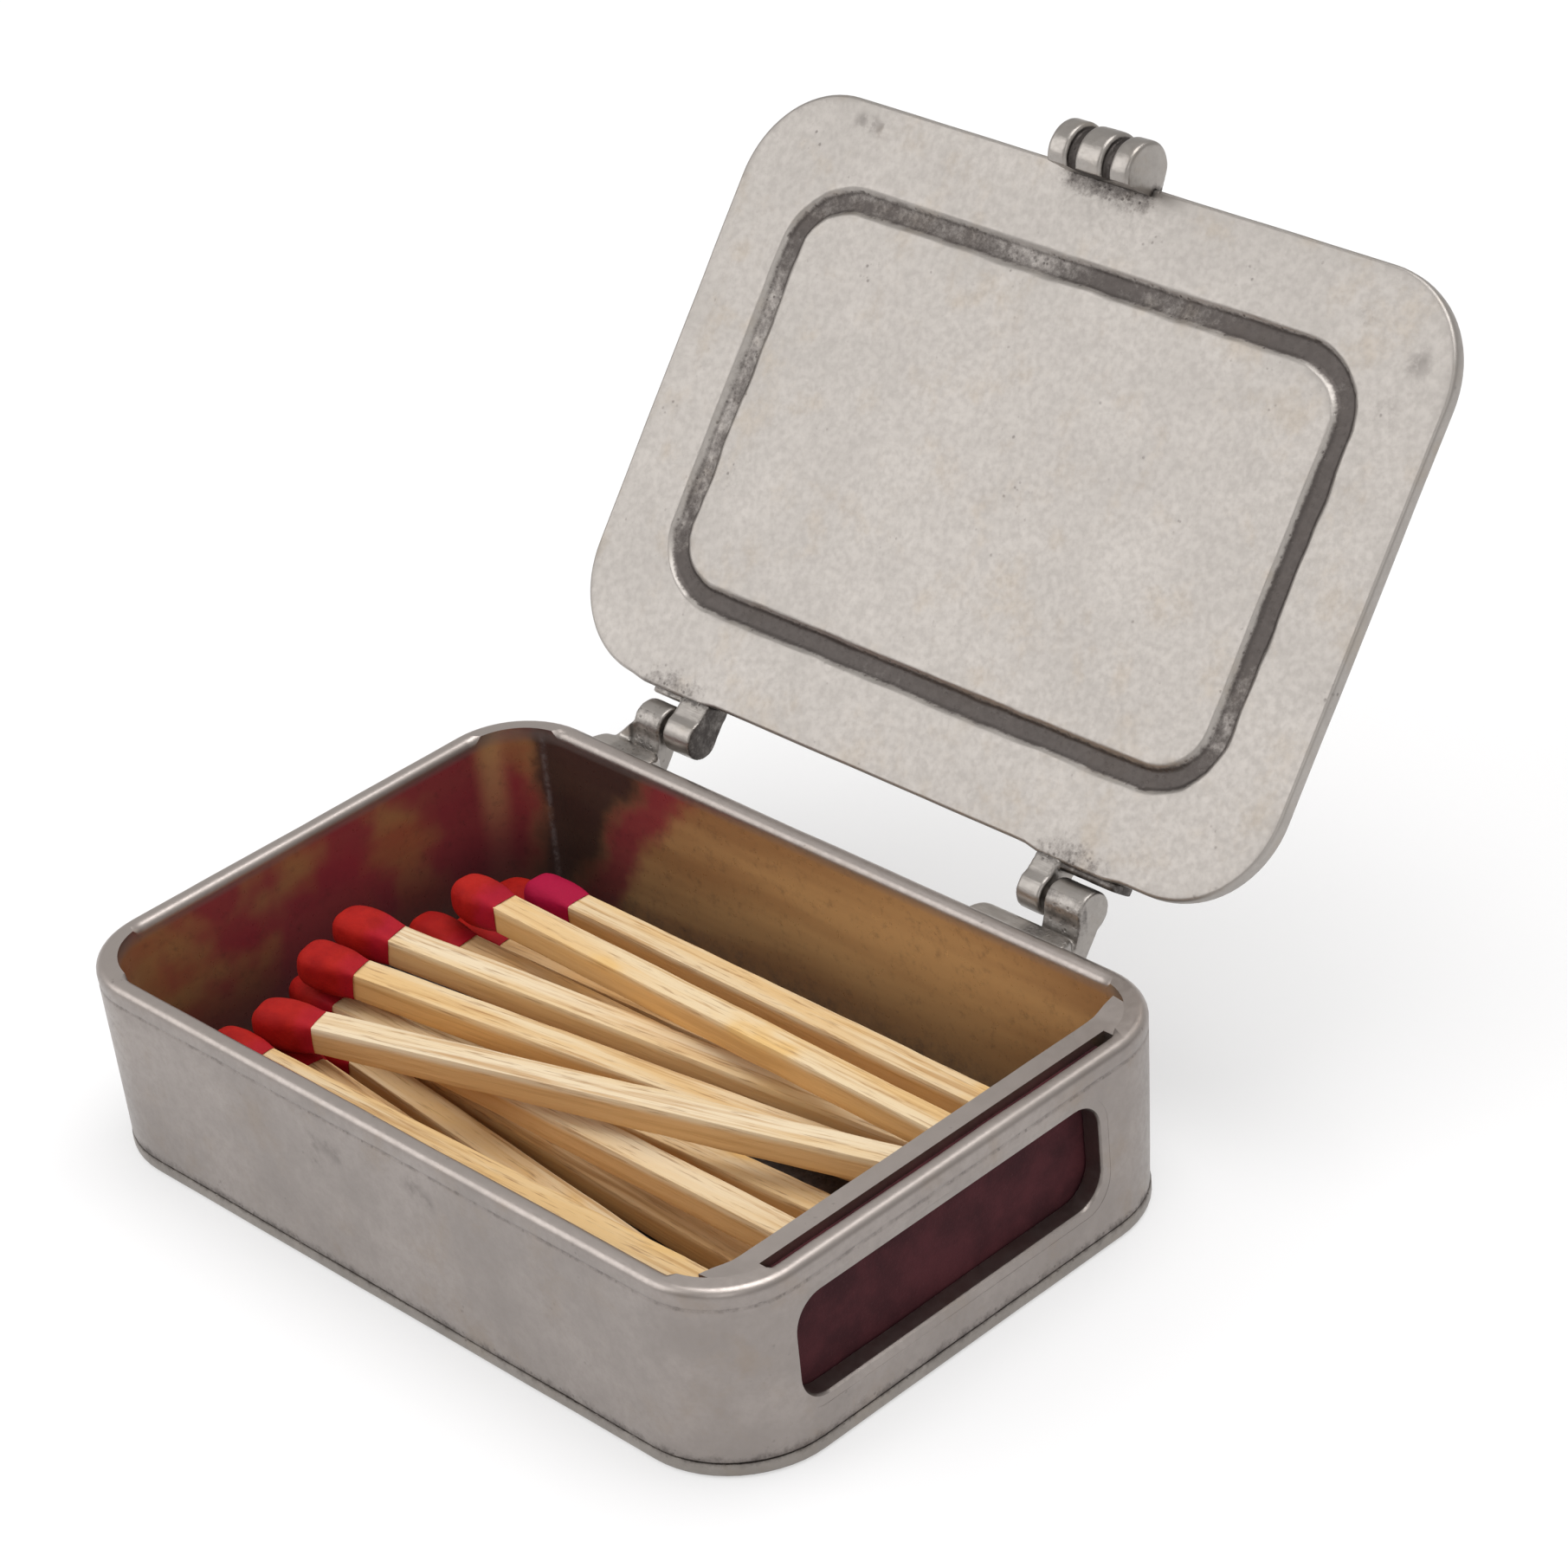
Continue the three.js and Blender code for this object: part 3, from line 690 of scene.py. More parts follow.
def makePartition():
    low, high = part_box("striker_partition")
    piece = addBlock("striker_partition_strip", low, high)
    bevelEdges(
        piece, lambda edge: runsAlong("z")(edge) and middleOf(edge).x > high.x - 0.1 * mm,
        striker["cornerFoot"], 6,
    )
    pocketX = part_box("striker_card")[0].x - 0.15 * mm
    pocketY = striker["pocketEnd"]
    cutWith(piece, addBlock("cutter", (pocketX, -pocketY, low.z - mm), (high.x + mm, pocketY, high.z + mm)))
    bevelEdges(
        piece,
        lambda edge: nearValue(middleOf(edge).z, high.z) and runsAlong("y")(edge)
        and middleOf(edge).x < pocketX + 0.1 * mm,
        striker["topRounding"], 5,
    )
    bisectAll(piece, spread(low.y + 0.5 * mm, high.y - 0.5 * mm, 0.7 * mm), 1)
    bisectAll(piece, spread(low.z, high.z - 0.7 * mm, 1.5 * mm), 2)

    def swell(vert):
        # both ends swell into the walls, and the top is thicker all along
        share = smooth(striker["swellFrom"], striker["swellTo"], abs(vert.co.y))
        if vert.co.x < low.x + 0.62 * mm:
            vert.co.x -= striker["swellOut"] * share
        if vert.co.z > high.z - 0.7 * mm:
            vert.co.z += striker["topRise"] + striker["swellUp"] * share
            fatter = striker["topFattening"]
            vert.co.x += fatter if vert.co.x > (low.x + pocketX) / 2 else -fatter
    reshape(piece, swell)
    roughen(piece, (7, 0.08), (2, 0.02))

    def patina(co):
        crest = smooth(high.z - 1.1 * mm, high.z - 0.3 * mm, co.z)
        # the crest: rubbed bright, with a painted highlight
        return 0.4 * (1 - smooth(0, 5 * mm, co.z - low.z)) - 0.7 * crest
    paintPewter(piece, patina, lambda co: 1 - smooth(high.z - 2.4 * mm, high.z - 1.2 * mm, co.z))
    finishPiece(piece, bodyPewter, "box", ["striker_partition"])


def strikerPaper():
    material, tree, shader = startMaterial("strikerPaper")
    place = read(tree, "TexCoord", "Object")
    grit = place.noise(5200, 3, 0.7)
    tone = tint((0.050, 0.013, 0.017), (0.095, 0.024, 0.030), place.noise(260, 4, 0.6), 0.3, 0.7)
    tone = tint(tone, (0.12, 0.042, 0.046), grit, 0.55, 0.8, 0.5)
    inputs = {"Base Color": tone, "Roughness": 0.78, "Specular IOR Level": 0.2}
    finishMaterial(shader, inputs, grit, 0.5, 0.00008)
    return material


def makeCard():
    low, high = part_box("striker_card")
    piece = addBlock("striker_card_sheet", low, high)
    bevelEdges(piece, lambda edge: True, 0.06 * mm, 2)
    bisectAll(piece, spread(low.y, high.y, striker["cardGrid"]), 1)
    bisectAll(piece, spread(low.z, high.z, striker["cardGrid"]), 2)
    roughen(piece, striker["cardBow"], (1.5, 0.02))
    finishPiece(piece, strikerPaper(), "box", ["striker_card"])


makePartition()
makeCard()
print("striker partition and card made")


# Lid, drawn shut and then opened

lidShape = {
    "corner": 8.5 * mm,
    "cornerCuts": 20,
    "outerRounding": 0.5 * mm,
    "innerRounding": 0.3 * mm,
    "grooveMargin": 6.55 * mm,
    "grooveSlope": 0.5 * mm,
    "grooveFloor": 1.15 * mm,
    "grooveDepth": 0.5 * mm,
    "grooveSoft": 0.13 * mm,
    "ringCorner": 6.4 * mm,
    "flare": 0.25 * mm,
    "halfBoss": 3.4 * mm,
    "grid": 0.7 * mm,
}


def makeLid():
    low, high = closedBox("lid")
    piece = addBlock("lid_plate", low, high)
    middle = (low + high) / 2
    bevelEdges(piece, runsAlong("z"), lidShape["corner"], lidShape["cornerCuts"])
    for z, rounding, cuts in ((high.z, lidShape["outerRounding"], 4), (low.z, lidShape["innerRounding"], 3)):
        bevelEdges(piece, levelAt(z), rounding, cuts)

    # the groove: a ring drawn in from the edge, sloped down, across and up again
    slope, depth = lidShape["grooveSlope"], lidShape["grooveDepth"]
    openEdit(piece)
    pick(piece, lambda face: face.normal.z < -0.99 and face.calc_area() > 1000 * mm * mm)
    bpy.ops.mesh.inset(thickness=0.0001 * mm)
    flatX = high.x - low.x - 2 * lidShape["innerRounding"]
    flatY = high.y - low.y - 2 * lidShape["innerRounding"]
    margin = 2 * (lidShape["grooveMargin"] - lidShape["innerRounding"])
    bpy.ops.transform.resize(
        value=(1 - margin / flatX, 1 - margin / flatY, 1), center_override=(middle.x, middle.y, low.z),
    )
    bpy.ops.mesh.inset(thickness=slope, depth=-depth)
    bpy.ops.mesh.inset(thickness=lidShape["grooveFloor"])
    bpy.ops.mesh.inset(thickness=slope, depth=depth)
    closeEdit()

    ringX = (high.x - low.x) / 2 - lidShape["grooveMargin"]
    ringY = (high.y - low.y) / 2 - lidShape["grooveMargin"]

    def onGrooveEdge(edge):
        if len(edge.link_faces) != 2 or abs(alongOf(edge).z) > 0.1:
            return False
        co = middleOf(edge)
        within = abs(co.x - middle.x) < ringX + 0.2 * mm and abs(co.y - middle.y) < ringY + 0.2 * mm
        bend = edge.link_faces[0].normal.angle(edge.link_faces[1].normal)
        return within and co.z < high.z - 0.6 * mm and bend > math.radians(20)
    bevelEdges(piece, onGrooveEdge, lidShape["grooveSoft"], 3)
    bisectAll(piece, spread(low.x + 0.6 * mm, high.x - 0.6 * mm, lidShape["grid"]), 0)
    bisectAll(piece, spread(low.y + 0.6 * mm, high.y - 0.6 * mm, lidShape["grid"]), 1)

    def ringDepth(co):
        # how far a point lies inside the groove's outer line
        corner = lidShape["ringCorner"]
        overX = abs(co.x - middle.x) - (ringX - corner)
        overY = abs(co.y - middle.y) - (ringY - corner)
        if overX > 0 and overY > 0:
            return corner - math.hypot(overX, overY)
        return corner - max(overX, overY)

    width = 2 * slope + lidShape["grooveFloor"]

    def inGroove(co):
        if co.z > high.z - 0.5 * mm:
            return 0
        inner = ringDepth(co)
        return smooth(-0.4 * mm, 0.1 * mm, inner) * (1 - smooth(width - 0.1 * mm, width + 0.4 * mm, inner))
    markGroup(piece, "groove", inGroove)
    roughen(piece, (4, 0.22), direction="RGB_TO_XYZ", group="groove")
    roughen(piece, (0.7, 0.10), group="groove")
    roughen(piece, (11, 0.10), (2.5, 0.012))

    def flareOut(vert):
        # the hinged edge flares out towards each hinge
        away = min(abs(vert.co.x - place) for place in hingeMiddles) - lidShape["halfBoss"]
        share = 1 - smooth(-0.5 * mm, 1.5 * mm, away)
        share *= smooth(high.y - 3 * mm, high.y - 0.3 * mm, vert.co.y)
        vert.co.y += lidShape["flare"] * share
    reshape(piece, flareOut)

    def lidPatina(co):
        if co.z > high.z - 0.5 * mm:
            return 0.0
        sunk = smooth(low.z + 0.03 * mm, low.z + 0.3 * mm, co.z)
        uneven = 0.68 + 0.42 * noise.noise(co * 120) + 0.25 * smooth(10 * mm, 26 * mm, co.x - co.y * 0.4)
        uneven += 0.28 * smooth(middle.y + 12 * mm, middle.y + 16 * mm, co.y)
        value = max(0.0, uneven * sunk * inGroove(co))
        toThumb = math.hypot(max(0, abs(co.x - middle.x) - 3.2 * mm), co.y - low.y - 0.4 * mm)
        value = max(value, 0.66 * (1 - smooth(0.1 * mm, 3.0 * mm, toThumb)))
        for place in hingeMiddles:
            root = math.hypot((co.x - place) * 0.5, co.y - high.y - lidShape["flare"])
            value = max(value, 0.5 * (1 - smooth(0.3 * mm, 3.6 * mm, root)))
        return value
    paintPewter(piece, lidPatina)
    piece.data.transform(openTurn)
    finishPiece(piece, lidPewter, "lid", ["lid"])
    applyModifier(piece, "WEIGHTED_NORMAL", weight=60, keep_sharp=True)


makeLid()
print("lid made")


# Hinges: a lug, its neck and its leaf, soldered and filed into one solid

hinge = {
    "barrel": 1.62 * mm,
    "leafThickness": 1.1 * mm,
    "voxel": 0.13 * mm,
    "wallGap": 0.03 * mm,
    "rimOverlap": 0.6 * mm,
    "leafRounding": 1.0 * mm,
    "webReach": 1.7 * mm,
    "webSetBack": 1.2 * mm,
    "pinBore": 0.61 * mm,
    "boreSkin": 0.045 * mm,
    "endSkin": 0.12 * mm,
    "lidGap": 0.04 * mm,
}


def fuse(name, pieces, voxel, passes):
    # joins solid pieces into one skin, with soft hollows where they meet
    joined = pieces[0]
    activate(joined)
    for piece in pieces:
        piece.select_set(True)
    bpy.ops.object.join()
    joined.name = name
    joined.data.name = name
    applyModifier(joined, "REMESH", mode="VOXEL", voxel_size=voxel)
    applyModifier(joined, "SMOOTH", factor=0.5, iterations=passes)
    return joined


def lugEnds(places, blindEnd):
    # a lug's ends along X, and the same with a skin over the end that hides the pin
    low, high, skin = min(places), max(places), hinge["endSkin"]
    return low, high, low - (skin if blindEnd < 0 else 0), high + (skin if blindEnd > 0 else 0)


def makeFitting(node, solids, passes, blindEnd, lugFrom, lugTo):
    piece = fuse(f"{node}_fitting", solids, hinge["voxel"], passes)
    roughen(piece, (2.6, 0.06), (0.7, 0.02))
    # the pin's hole, blind at the end that faces away from the other lug
    reach, skin = 0.6 * mm, hinge["boreSkin"]
    start = lugFrom - reach if blindEnd > 0 else lugFrom + skin
    end = lugTo + reach if blindEnd < 0 else lugTo - skin
    cutWith(piece, addRod("cutter", hinge["pinBore"], start, end, hingeAt.y, hingeAt.z, 32))
    return piece


def makeBodyHinge(side):
    node = f"body_hinge_{side}"
    blindEnd = -1 if side == "left" else 1
    low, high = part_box(node)
    lugPlaces = [vert.co.x for vert in frame["nodes"][node].data.vertices if vert.co.z > hingeAt.z + mm]
    lugFrom, lugTo, skinFrom, skinTo = lugEnds(lugPlaces, blindEnd)
    leafTop = rimZ - 0.02 * mm
    leafBack = wallY + hinge["leafThickness"]
    leaf = addBlock("leaf", (low.x, wallY - hinge["rimOverlap"], low.z), (high.x, leafBack, leafTop))
    bevelEdges(
        leaf, lambda edge: runsAlong("z")(edge) and middleOf(edge).y > leafBack - 0.1 * mm,
        hinge["leafRounding"], 4,
    )
    bevelEdges(
        leaf, lambda edge: abs(alongOf(edge).z) < 0.1 and middleOf(edge).y > wallY + 0.1 * mm, 0.4 * mm, 2,
    )
    barrel = addRod("barrel", hinge["barrel"], skinFrom, skinTo, hingeAt.y, hingeAt.z)
    neckBack = hingeAt.y + hinge["barrel"] * 0.9
    neck = addBlock(
        "neck", (skinFrom, wallY + hinge["wallGap"], low.z + 1.2 * mm),
        (skinTo, neckBack, hingeAt.z - 0.2 * mm),
    )
    shiftVerts(
        neck, lambda vert: vert.co.y > hingeAt.y and vert.co.z < hingeAt.z - mm, (0, leafBack - neckBack, 0),
    )
    shiftVerts(
        neck, lambda vert: vert.co.y < leafBack and vert.co.z > hingeAt.z - mm,
        (0, hingeAt.y - hinge["barrel"] * 0.95 - wallY, 0),
    )
    fused = [leaf, barrel, neck]
    if side == "left":
        # a web of solder, from the boss up to the lug's outer side
        webTop = hingeAt.z + 0.4 * mm
        web = addBlock(
            "web", (skinFrom - hinge["webReach"], wallY + hinge["webSetBack"], leafTop - mm),
            (skinFrom, hingeAt.y + 0.3 * mm, webTop),
        )
        shiftVerts(
            web, lambda vert: vert.co.x < skinFrom - 0.5 * mm and vert.co.z > leafTop - 0.5 * mm,
            (0, 0, leafTop - 0.3 * mm - webTop),
        )
        fused.append(web)
    piece = makeFitting(node, fused, 9, blindEnd, lugFrom, lugTo)

    def patina(co):
        # rubbed bright with a painted highlight on top of the boss, scratched dark beside and before the lug
        value = 0.3 if co.z < leafTop - 2 * mm else 0
        if co.y < hingeAt.y - 0.8 * mm:
            toLug = max(skinFrom - co.x, co.x - skinTo, 0)
            scratched = 1 - smooth(0, 0.9 * mm, toLug)
            value = (scratched - 0.6) * smooth(leafTop - 1.2 * mm, leafTop - 0.1 * mm, co.z)
        # painted shade on the end face of the right lug
        if side == "right" and co.x > lugTo - 0.05 * mm:
            value = max(value, 0.22)
        return value
    paintPewter(piece, patina)
    finishPiece(piece, fittingPewter, "box", [node], 50)


def makeLidHinge(side):
    node = f"lid_hinge_{side}"
    low, high = closedBox(node)
    lidLow, lidHigh = closedBox("lid")
    blindEnd = 1 if side == "left" else -1
    lugPlaces = [place.x for place in shutPlaces(node) if place.y > hingeAt.y + mm]
    lugFrom, lugTo, skinFrom, skinTo = lugEnds(lugPlaces, blindEnd)
    top = lidHigh.z + 0.15 * mm + hinge["leafThickness"]
    heel = lidHigh.y + 0.75 * mm
    front = lidHigh.y + hinge["lidGap"]
    leaf = addBlock("leaf", (low.x, low.y, lidHigh.z + 0.06 * mm), (high.x, heel, top))
    bevelEdges(leaf, lambda edge: middleOf(edge).z > top - 0.1 * mm, 0.5 * mm, 2)
    # the left one stops short of the lid's rounded corner
    backFrom = skinFrom - 0.5 * mm if side == "left" else low.x
    back = addBlock("back", (backFrom, front, lidLow.z + 0.15 * mm), (high.x, heel, top - 0.2 * mm))
    bevelEdges(back, lambda edge: middleOf(edge).z < lidLow.z + 0.3 * mm, 0.3 * mm, 2)
    barrel = addRod("barrel", hinge["barrel"], skinFrom, skinTo, hingeAt.y, hingeAt.z)
    neck = addBlock(
        "neck", (skinFrom, front, lidLow.z),
        (skinTo, hingeAt.y + 0.5 * mm, hingeAt.z + hinge["barrel"] * 0.95),
    )
    shiftVerts(neck, lambda vert: vert.co.y > hingeAt.y and vert.co.z < hingeAt.z, (0, -0.9 * mm, -0.6 * mm))
    piece = makeFitting(node, [leaf, back, barrel, neck], 6, blindEnd, lugFrom, lugTo)

    def patina(co):
        # dark where it meets the lid, and painted shade on the end of the lug
        value = 0.62 * (1 - smooth(0.1 * mm, 1.1 * mm, co.y - lidHigh.y))
        if side == "left" and co.x > lugTo - 0.05 * mm:
            value = max(value, 0.7)
        if side == "right" and co.x > lugTo + 0.1 * mm:
            value = max(value, 0.75)
        return value
    paintPewter(piece, patina)
    piece.data.transform(openTurn)
    finishPiece(piece, fittingPewter, "lid", [node], 50)


for side in ("left", "right"):
    makeBodyHinge(side)
    makeLidHinge(side)
    # the pins keep their CAD solids
    pin = frame["nodes"][f"hinge_pin_{side}"]
    pin.data.materials.clear()
    pin.data.materials.append(fittingPewter)
print("hinges made")


# Thumbpiece: a barrel with three lobes, filed flat at both ends

thumb = {
    "radius": 2.35 * mm,
    "before": 0.8 * mm,
    "below": 1.45 * mm,
    "middleShare": 1.35,
    "waist": 0.85 * mm,
    "waistDepth": 0.5 * mm,
    "rounding": 0.34 * mm,
    "voxel": 0.085 * mm,
}


def makeThumbpiece():
    low, high = closedBox("thumbpiece")
    lidLow, lidHigh = closedBox("lid")
    radius = thumb["radius"]
    axisY = lidLow.y - thumb["before"]
    axisZ = lidLow.z - thumb["below"]
    lobes = []
    outer = (high.x - low.x - 2 * thumb["waist"]) / (2 + thumb["middleShare"])
    start = low.x
    for width in (outer, outer * thumb["middleShare"], outer):
        lobe = addRod("lobe", radius, start, start + width, axisY, axisZ, 64)
        bevelEdges(
            lobe, lambda edge: abs(alongOf(edge).x) < 0.1 and len(edge.link_faces) == 2, thumb["rounding"], 4,
        )
        lobes.append(lobe)
        start += width + thumb["waist"]
    core = addRod("core", radius - thumb["waistDepth"], low.x + 0.5 * mm, high.x - 0.5 * mm, axisY, axisZ, 64)
    heelTop = axisZ + radius * 0.93
    heel = addBlock(
        "heel", (low.x + 0.1 * mm, axisY - 0.6 * mm, axisZ),
        (high.x - 0.1 * mm, lidLow.y + 0.2 * mm, heelTop),
    )
    shiftVerts(
        heel, lambda vert: vert.co.y > lidLow.y and vert.co.z > lidLow.z,
        (0, 0, lidHigh.z - 0.25 * mm - heelTop),
    )
    piece = fuse("thumbpiece_barrel", lobes + [core, heel], thumb["voxel"], 4)

    # cut back to clear the wall and the lid
    cutTop = (high.x + mm, wallY, lidHigh.z + 3 * mm)
    cutWith(piece, addBlock("cutter", (low.x - mm, -wallY - 0.35 * mm, axisZ - 4 * mm), cutTop))
    cutWith(piece, addBlock("cutter", (low.x - mm, lidLow.y - 0.04 * mm, lidLow.z - 0.04 * mm), cutTop))
    roughen(piece, (2.2, 0.08), (0.6, 0.025))

    def patina(co):
        # dark in the waists and where it meets the lid
        value = 0.0
        if low.x + mm < co.x < high.x - mm:
            outwards = math.hypot(co.y - axisY, co.z - axisZ)
            value = 0.92 * (1 - smooth(radius - 0.4 * mm, radius - 0.08 * mm, outwards))
        toLid = math.hypot(max(lidLow.y - co.y, 0), max(lidLow.z - co.z, 0))
        return max(value, 0.62 * (1 - smooth(0.05 * mm, 0.9 * mm, toLid)))
    paintPewter(piece, patina)
    piece.data.transform(openTurn)
    finishPiece(piece, fittingPewter, "lid", ["thumbpiece"], 50)


makeThumbpiece()
print("thumbpiece made")


# Matches: one stick and one head, modelled along X from the tip, and copied for each match

matchShape = {
    "length": 52 * mm,
    "side": 2.3 * mm,
    "edge": 0.16 * mm,
    "stickFrom": 4.7 * mm,
    "headEnd": 5.45 * mm,
    "step": 1.6 * mm,
    "rows": (-0.55 * mm, 0, 0.55 * mm),
}
# half width of the head along its length in millimetres, and how round its section is
headProfile = [(0.0, 0.42, 1.0), (0.14, 0.84, 1.0), (0.5, 1.24, 1.0), (1.1, 1.5, 1.0), (2.0, 1.6, 1.0),
               (3.1, 1.6, 0.85), (4.1, 1.48, 0.6), (4.9, 1.33, 0.3), (5.3, 1.27, 0.1), (5.45, 1.24, 0.1)]
# how much magenta some of the heads have, by the number of the match
magentaHeads = {5: 0.06, 6: 0.1, 8: 0.18, 10: 1.0}


def modelStick():
    start, end, half = matchShape["stickFrom"], matchShape["length"], matchShape["side"] / 2
    stick = addBlock("stick", (start, -half, -half), (end, half, half))
    bevelEdges(stick, runsAlong("x"), matchShape["edge"], 2)
    bisectAll(stick, spread(start, end - 0.3 * mm, matchShape["step"]), 0)
    for axis in (1, 2):
        bisectAll(stick, matchShape["rows"], axis)
    return stick


def modelHead():
    half = headProfile[0][1] * mm
    end = matchShape["headEnd"]
    head = addBlock("head", (0, -half, -half), (end, half, half))
    bevelEdges(head, runsAlong("x"), half * 0.3, 3)
    bisectAll(head, [place * mm for place, width, roundness in headProfile[1:-1]], 0)
    for axis in (1, 2):
        bisectAll(head, [-half * 0.4, half * 0.4], axis)
    for place, width, roundness in headProfile:
        centre = (place * mm, 0, 0)
        ratio = width * mm / half
        rim = 0.8 * width * mm
        scaleVerts(head, lambda vert: nearValue(vert.co.x, place * mm), (1, ratio, ratio), centre)
        openEdit(head, "VERT")
        pick(
            head,
            lambda vert: nearValue(vert.co.x, place * mm) and max(abs(vert.co.y), abs(vert.co.z)) > rim,
            "verts",
        )
        bpy.ops.transform.tosphere(value=roundness, center_override=centre)
        closeEdit()
    openEdit(head)
    pick(head, lambda face: face.normal.x > 0.95 and face.calc_center_median().x > end - 0.05 * mm)
    bpy.ops.mesh.inset(thickness=0.06 * mm)
    bpy.ops.mesh.inset(thickness=0.05 * mm, depth=-0.3 * mm)
    closeEdit()
    applyModifier(head, "SUBSURF", levels=2, render_levels=2)
    return head


def storePlaces(piece):
    # keeps each vertex's place along its own match, which grain and tint follow
    layer = piece.data.attributes.new("ownPlace", "FLOAT_VECTOR", "POINT")
    values = [part for vert in piece.data.vertices for part in vert.co]
    layer.data.foreach_set("vector", values)


def ownPlace(tree, shift):
    # the place along the match, and the same shifted so that no two matches look alike
    place = read(tree, "Attribute", "Vector", attribute_name="ownPlace")
    return place, place.feed("VectorMath", "Vector", {0: place, 1: shift}, operation="ADD")


def splintWood(name, tone, seed):
    material, tree, shader = startMaterial(name)
    place, shifted = ownPlace(tree, (seed * 0.7, seed * 0.31, seed * 0.53))
    fibres = shifted.stretch((55, 1900, 1900)).noise(1.0, 4, 0.62, 0.3)
    bands = shifted.stretch((30, 420, 420)).noise(1.0, 4, 0.6, 0.3)
    flecks = shifted.stretch((240, 4200, 4200)).noise(1.0, 3, 0.65)
    patches = shifted.stretch((70, 160, 160)).noise(1.0, 3, 0.55)
    tan = tint(tone["light"], tone["warm"], bands, 0.35, 0.65)
    tan = tint(tan, tone["patch"], patches, 0.56, 0.68, tone["patches"])
    tan = tint(tan, tone["dark"], fibres, 0.48, 0.70, 0.5)
    tan = tint(tan, tone["fleck"], flecks, 0.54, 0.72, 0.6)
    # painted shade and bounced light: the sides are darker and warmer than the tops
    height = place.split()[2]
    tan = tint(tan, tone["side"], height, 0.00095, 0.0004, 0.85)
    tan = tint(tan, tone["dark"], fibres, 0.5, 0.68, 0.4)
    inputs = {"Base Color": tan, "Roughness": fibres.ramp(0.3, 0.7, 0.62, 0.8), "Specular IOR Level": 0.22}
    finishMaterial(shader, inputs, fibres + flecks * 0.5, 0.55, 0.00012)
    return material


headReds = {"red": (0.31, 0.007, 0.006), "light": (0.41, 0.013, 0.008), "speck": (0.19, 0.005, 0.007),
            "magenta": (0.38, 0.006, 0.045)}


def headCompound(name, magenta, seed):
    material, tree, shader = startMaterial(name)
    place, shifted = ownPlace(tree, (seed * 0.37, seed * 0.11, seed * 0.23))
    cloud = shifted.noise(420, 3, 0.6)
    speck = shifted.noise(3600, 3, 0.65)
    red = tint(headReds["red"], headReds["light"], cloud, 0.3, 0.7)
    red = tint(red, headReds["speck"], speck, 0.58, 0.8, 0.35)
    # magenta towards the wood, and all over where there is much of it
    along = place.split()[0] * 1000 + cloud * 3.0
    most = min(1.0, 0.25 + magenta)
    red = tint(red, headReds["magenta"], along, 5.2 - 4.5 * magenta, 6.6 - 4.0 * magenta, most)
    inputs = {"Base Color": red, "Roughness": 0.62, "Specular IOR Level": 0.12}
    finishMaterial(shader, inputs, speck, 0.3, 0.00008)
    return material


def placeOf(name):
    # a match's place from its CAD stick: its tip, with X along it
    corners = sorted(tuple(vert.co) for vert in frame["nodes"][f"{name}_stick"].data.vertices)
    half = len(corners) // 2
    ends = (corners[:half], corners[half:])
    headEnd, tailEnd = (sum((Vector(corner) for corner in end), Vector()) / half for end in ends)
    along = (tailEnd - headEnd).normalized()
    across = Vector((-along.y, along.x, 0)).normalized()
    up = along.cross(across)
    turn = Matrix((along, across, up)).transposed().to_4x4()
    tip = tailEnd - along * matchShape["length"]
    return Matrix.Translation(tip) @ turn


def copyPart(original, name, place):
    copied = original.copy()
    copied.data = original.data.copy()
    copied.name = name
    copied.data.name = name
    bpy.context.scene.collection.objects.link(copied)
    copied.data.transform(place)
    return copied


woodTones = {
    "pale": {
        "light": (0.80, 0.66, 0.46), "warm": (0.74, 0.54, 0.30), "dark": (0.50, 0.28, 0.11),
        "fleck": (0.27, 0.12, 0.04), "side": (0.72, 0.43, 0.17), "patch": (0.76, 0.49, 0.19),
        "patches": 0.4,
    },
    "gold": {
        "light": (0.78, 0.62, 0.40), "warm": (0.73, 0.49, 0.23), "dark": (0.48, 0.26, 0.09),
        "fleck": (0.25, 0.10, 0.035), "side": (0.70, 0.40, 0.145), "patch": (0.76, 0.45, 0.12),
        "patches": 0.7,
    },
    "deep": {
        "light": (0.72, 0.50, 0.27), "warm": (0.64, 0.39, 0.17), "dark": (0.42, 0.22, 0.08),
        "fleck": (0.21, 0.08, 0.03), "side": (0.60, 0.32, 0.11), "patch": (0.68, 0.36, 0.10),
        "patches": 0.5,
    },
}
toneOrder = ["gold", "pale", "deep", "gold", "pale", "pale", "deep", "gold", "deep", "gold", "pale",
             "deep", "gold", "deep", "gold"]


def makeMatches():
    stick, head = modelStick(), modelHead()
    storePlaces(stick)
    storePlaces(head)
    names = sorted(node[:-6] for node in frame["nodes"] if node.endswith("_stick"))
    for number, name in enumerate(names, 1):
        place = placeOf(name)
        wood = copyPart(stick, f"{name}_splint", place)
        roughen(wood, (5, 0.14), (0.9, 0.05))
        grain = splintWood(f"{name}Wood", woodTones[toneOrder[number - 1]], number)
        finishPiece(wood, grain, "box", [f"{name}_stick"], 40)
        bulb = copyPart(head, f"{name}_bulb", place)
        roughen(bulb, (2.5, 0.22), (0.7, 0.04))
        compound = headCompound(f"{name}Head", magentaHeads.get(number, 0.0), number)
        finishPiece(bulb, compound, "box", [f"{name}_head"], 70)
    bpy.data.objects.remove(stick)
    bpy.data.objects.remove(head)


makeMatches()
print("matches made")


# Floor, light and camera

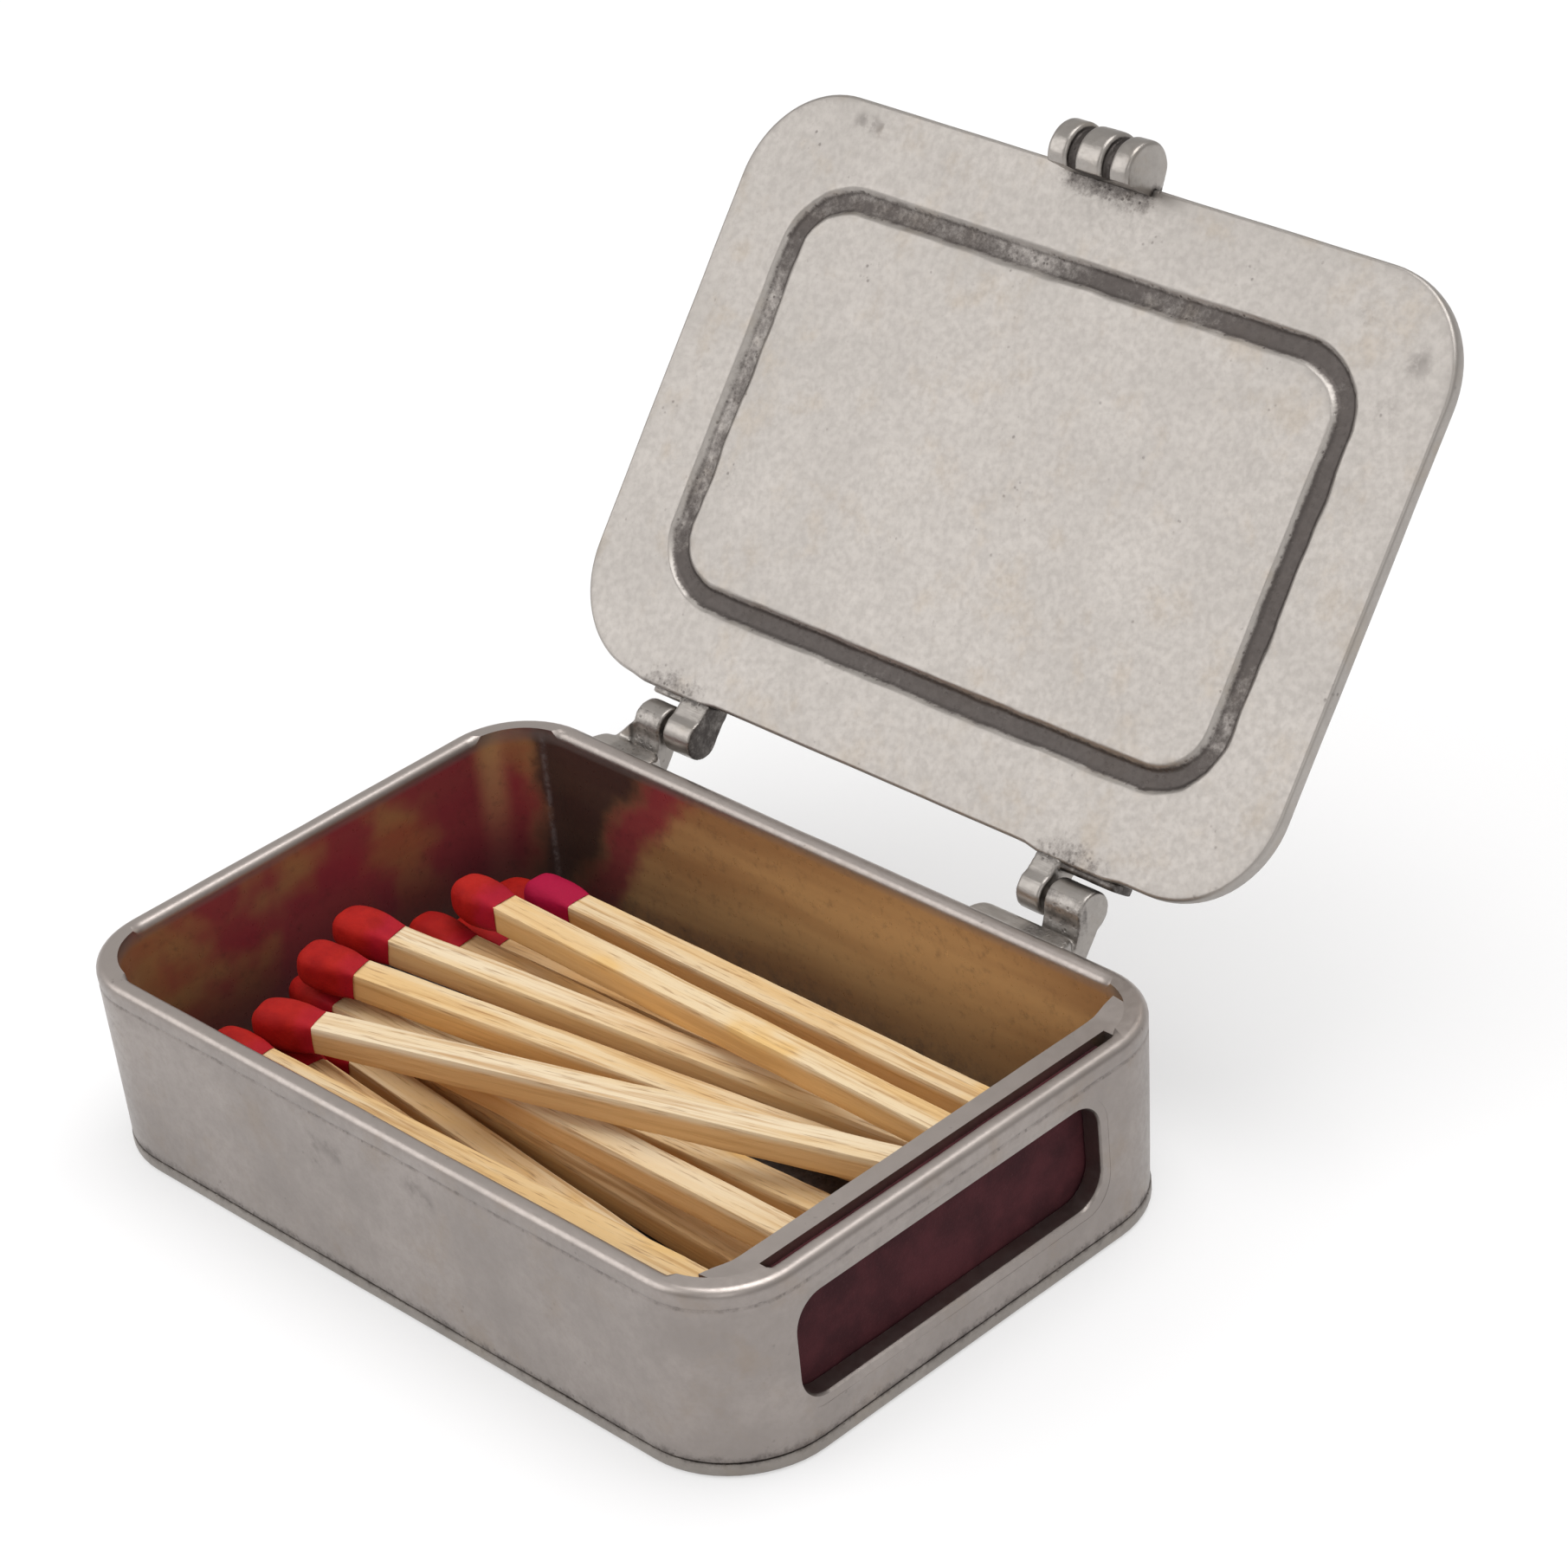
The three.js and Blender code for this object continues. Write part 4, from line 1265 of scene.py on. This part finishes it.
studio = {
    "floorSize": 3.0,
    "floorGlow": 0.5,
    "floorColour": (0.5, 0.5, 0.505, 1),
    "roomColour": (1.0, 0.985, 0.97, 1),
    "roomStrength": 0.6,
    # each softbox: where it hangs, what it aims at, its size and its power
    "softboxes": {
        "leftSoftbox": ((-0.38, -0.42, 0.36), (0, 0, 0.03), 0.50, 1.2),
        "topSoftbox": ((0.05, 0.10, 0.62), (0, 0, 0), 0.45, 1.88),
        "cameraSide": ((0.42, -0.40, 0.34), (0, 0, 0.02), 0.30, 0.3),
    },
    # the camera stands where the photograph was taken from, rolled as it was
    "cameraPlace": (0.22438, -0.18516, 0.20573),
    "cameraAim": (0.00968, 0.0100, 0.03081),
    "cameraRoll": -5.717,
    "lens": 111.03,
}


def makeFloor():
    bpy.ops.mesh.primitive_plane_add(size=studio["floorSize"])
    floor = bpy.context.object
    floor.name = "floor"
    material = bpy.data.materials.new("paleFloor")
    tree = clearTree(material)
    lit = Signal(addNode(tree, "BsdfDiffuse", {"Color": studio["floorColour"]}))
    rays = [read(tree, "LightPath", f"Is {kind} Ray") for kind in ("Camera", "Glossy", "Transmission")]
    seen = rays[0].orMore(rays[1]).orMore(rays[2])
    glow = seen.feed("Emission", 0, {"Color": (1, 1, 1, 1), "Strength": seen * studio["floorGlow"]})
    addNode(tree, "OutputMaterial", {"Surface": seen.feed("AddShader", 0, {0: lit, 1: glow})})
    floor.data.materials.append(material)


def makeWorld():
    world = bpy.data.worlds.new("softRoom")
    bpy.context.scene.world = world
    tree = clearTree(world)
    seen = read(tree, "LightPath", "Is Camera Ray")
    room = seen.feed("Background", 0, {"Color": studio["roomColour"], "Strength": studio["roomStrength"]})
    white = seen.feed("Background", 0, {"Color": (1, 1, 1, 1)})
    addNode(tree, "OutputWorld", {"Surface": seen.feed("MixShader", 0, {0: seen, 1: room, 2: white})})


def addLamp(name, place, aim, size, power):
    bpy.ops.object.light_add(type="AREA", location=place)
    lamp = bpy.context.object
    lamp.name = name
    lamp.rotation_euler = (Vector(aim) - Vector(place)).to_track_quat("-Z", "Y").to_euler()
    lamp.data.size = size
    lamp.data.energy = power


def makeCamera():
    place = Vector(studio["cameraPlace"])
    bpy.ops.object.camera_add(location=place)
    camera = bpy.context.object
    turn = (Vector(studio["cameraAim"]) - place).to_track_quat("-Z", "Y")
    turn = turn @ Quaternion((0, 0, 1), math.radians(studio["cameraRoll"]))
    camera.rotation_euler = turn.to_euler()
    camera.data.lens = studio["lens"]
    camera.data.sensor_width = 36
    camera.data.clip_start = 0.01
    bpy.context.scene.camera = camera


makeFloor()
makeWorld()
for name, settings in studio["softboxes"].items():
    addLamp(name, *settings)
makeCamera()
bpy.context.scene.view_settings.view_transform = "Standard"
print("floor, lights and camera made")
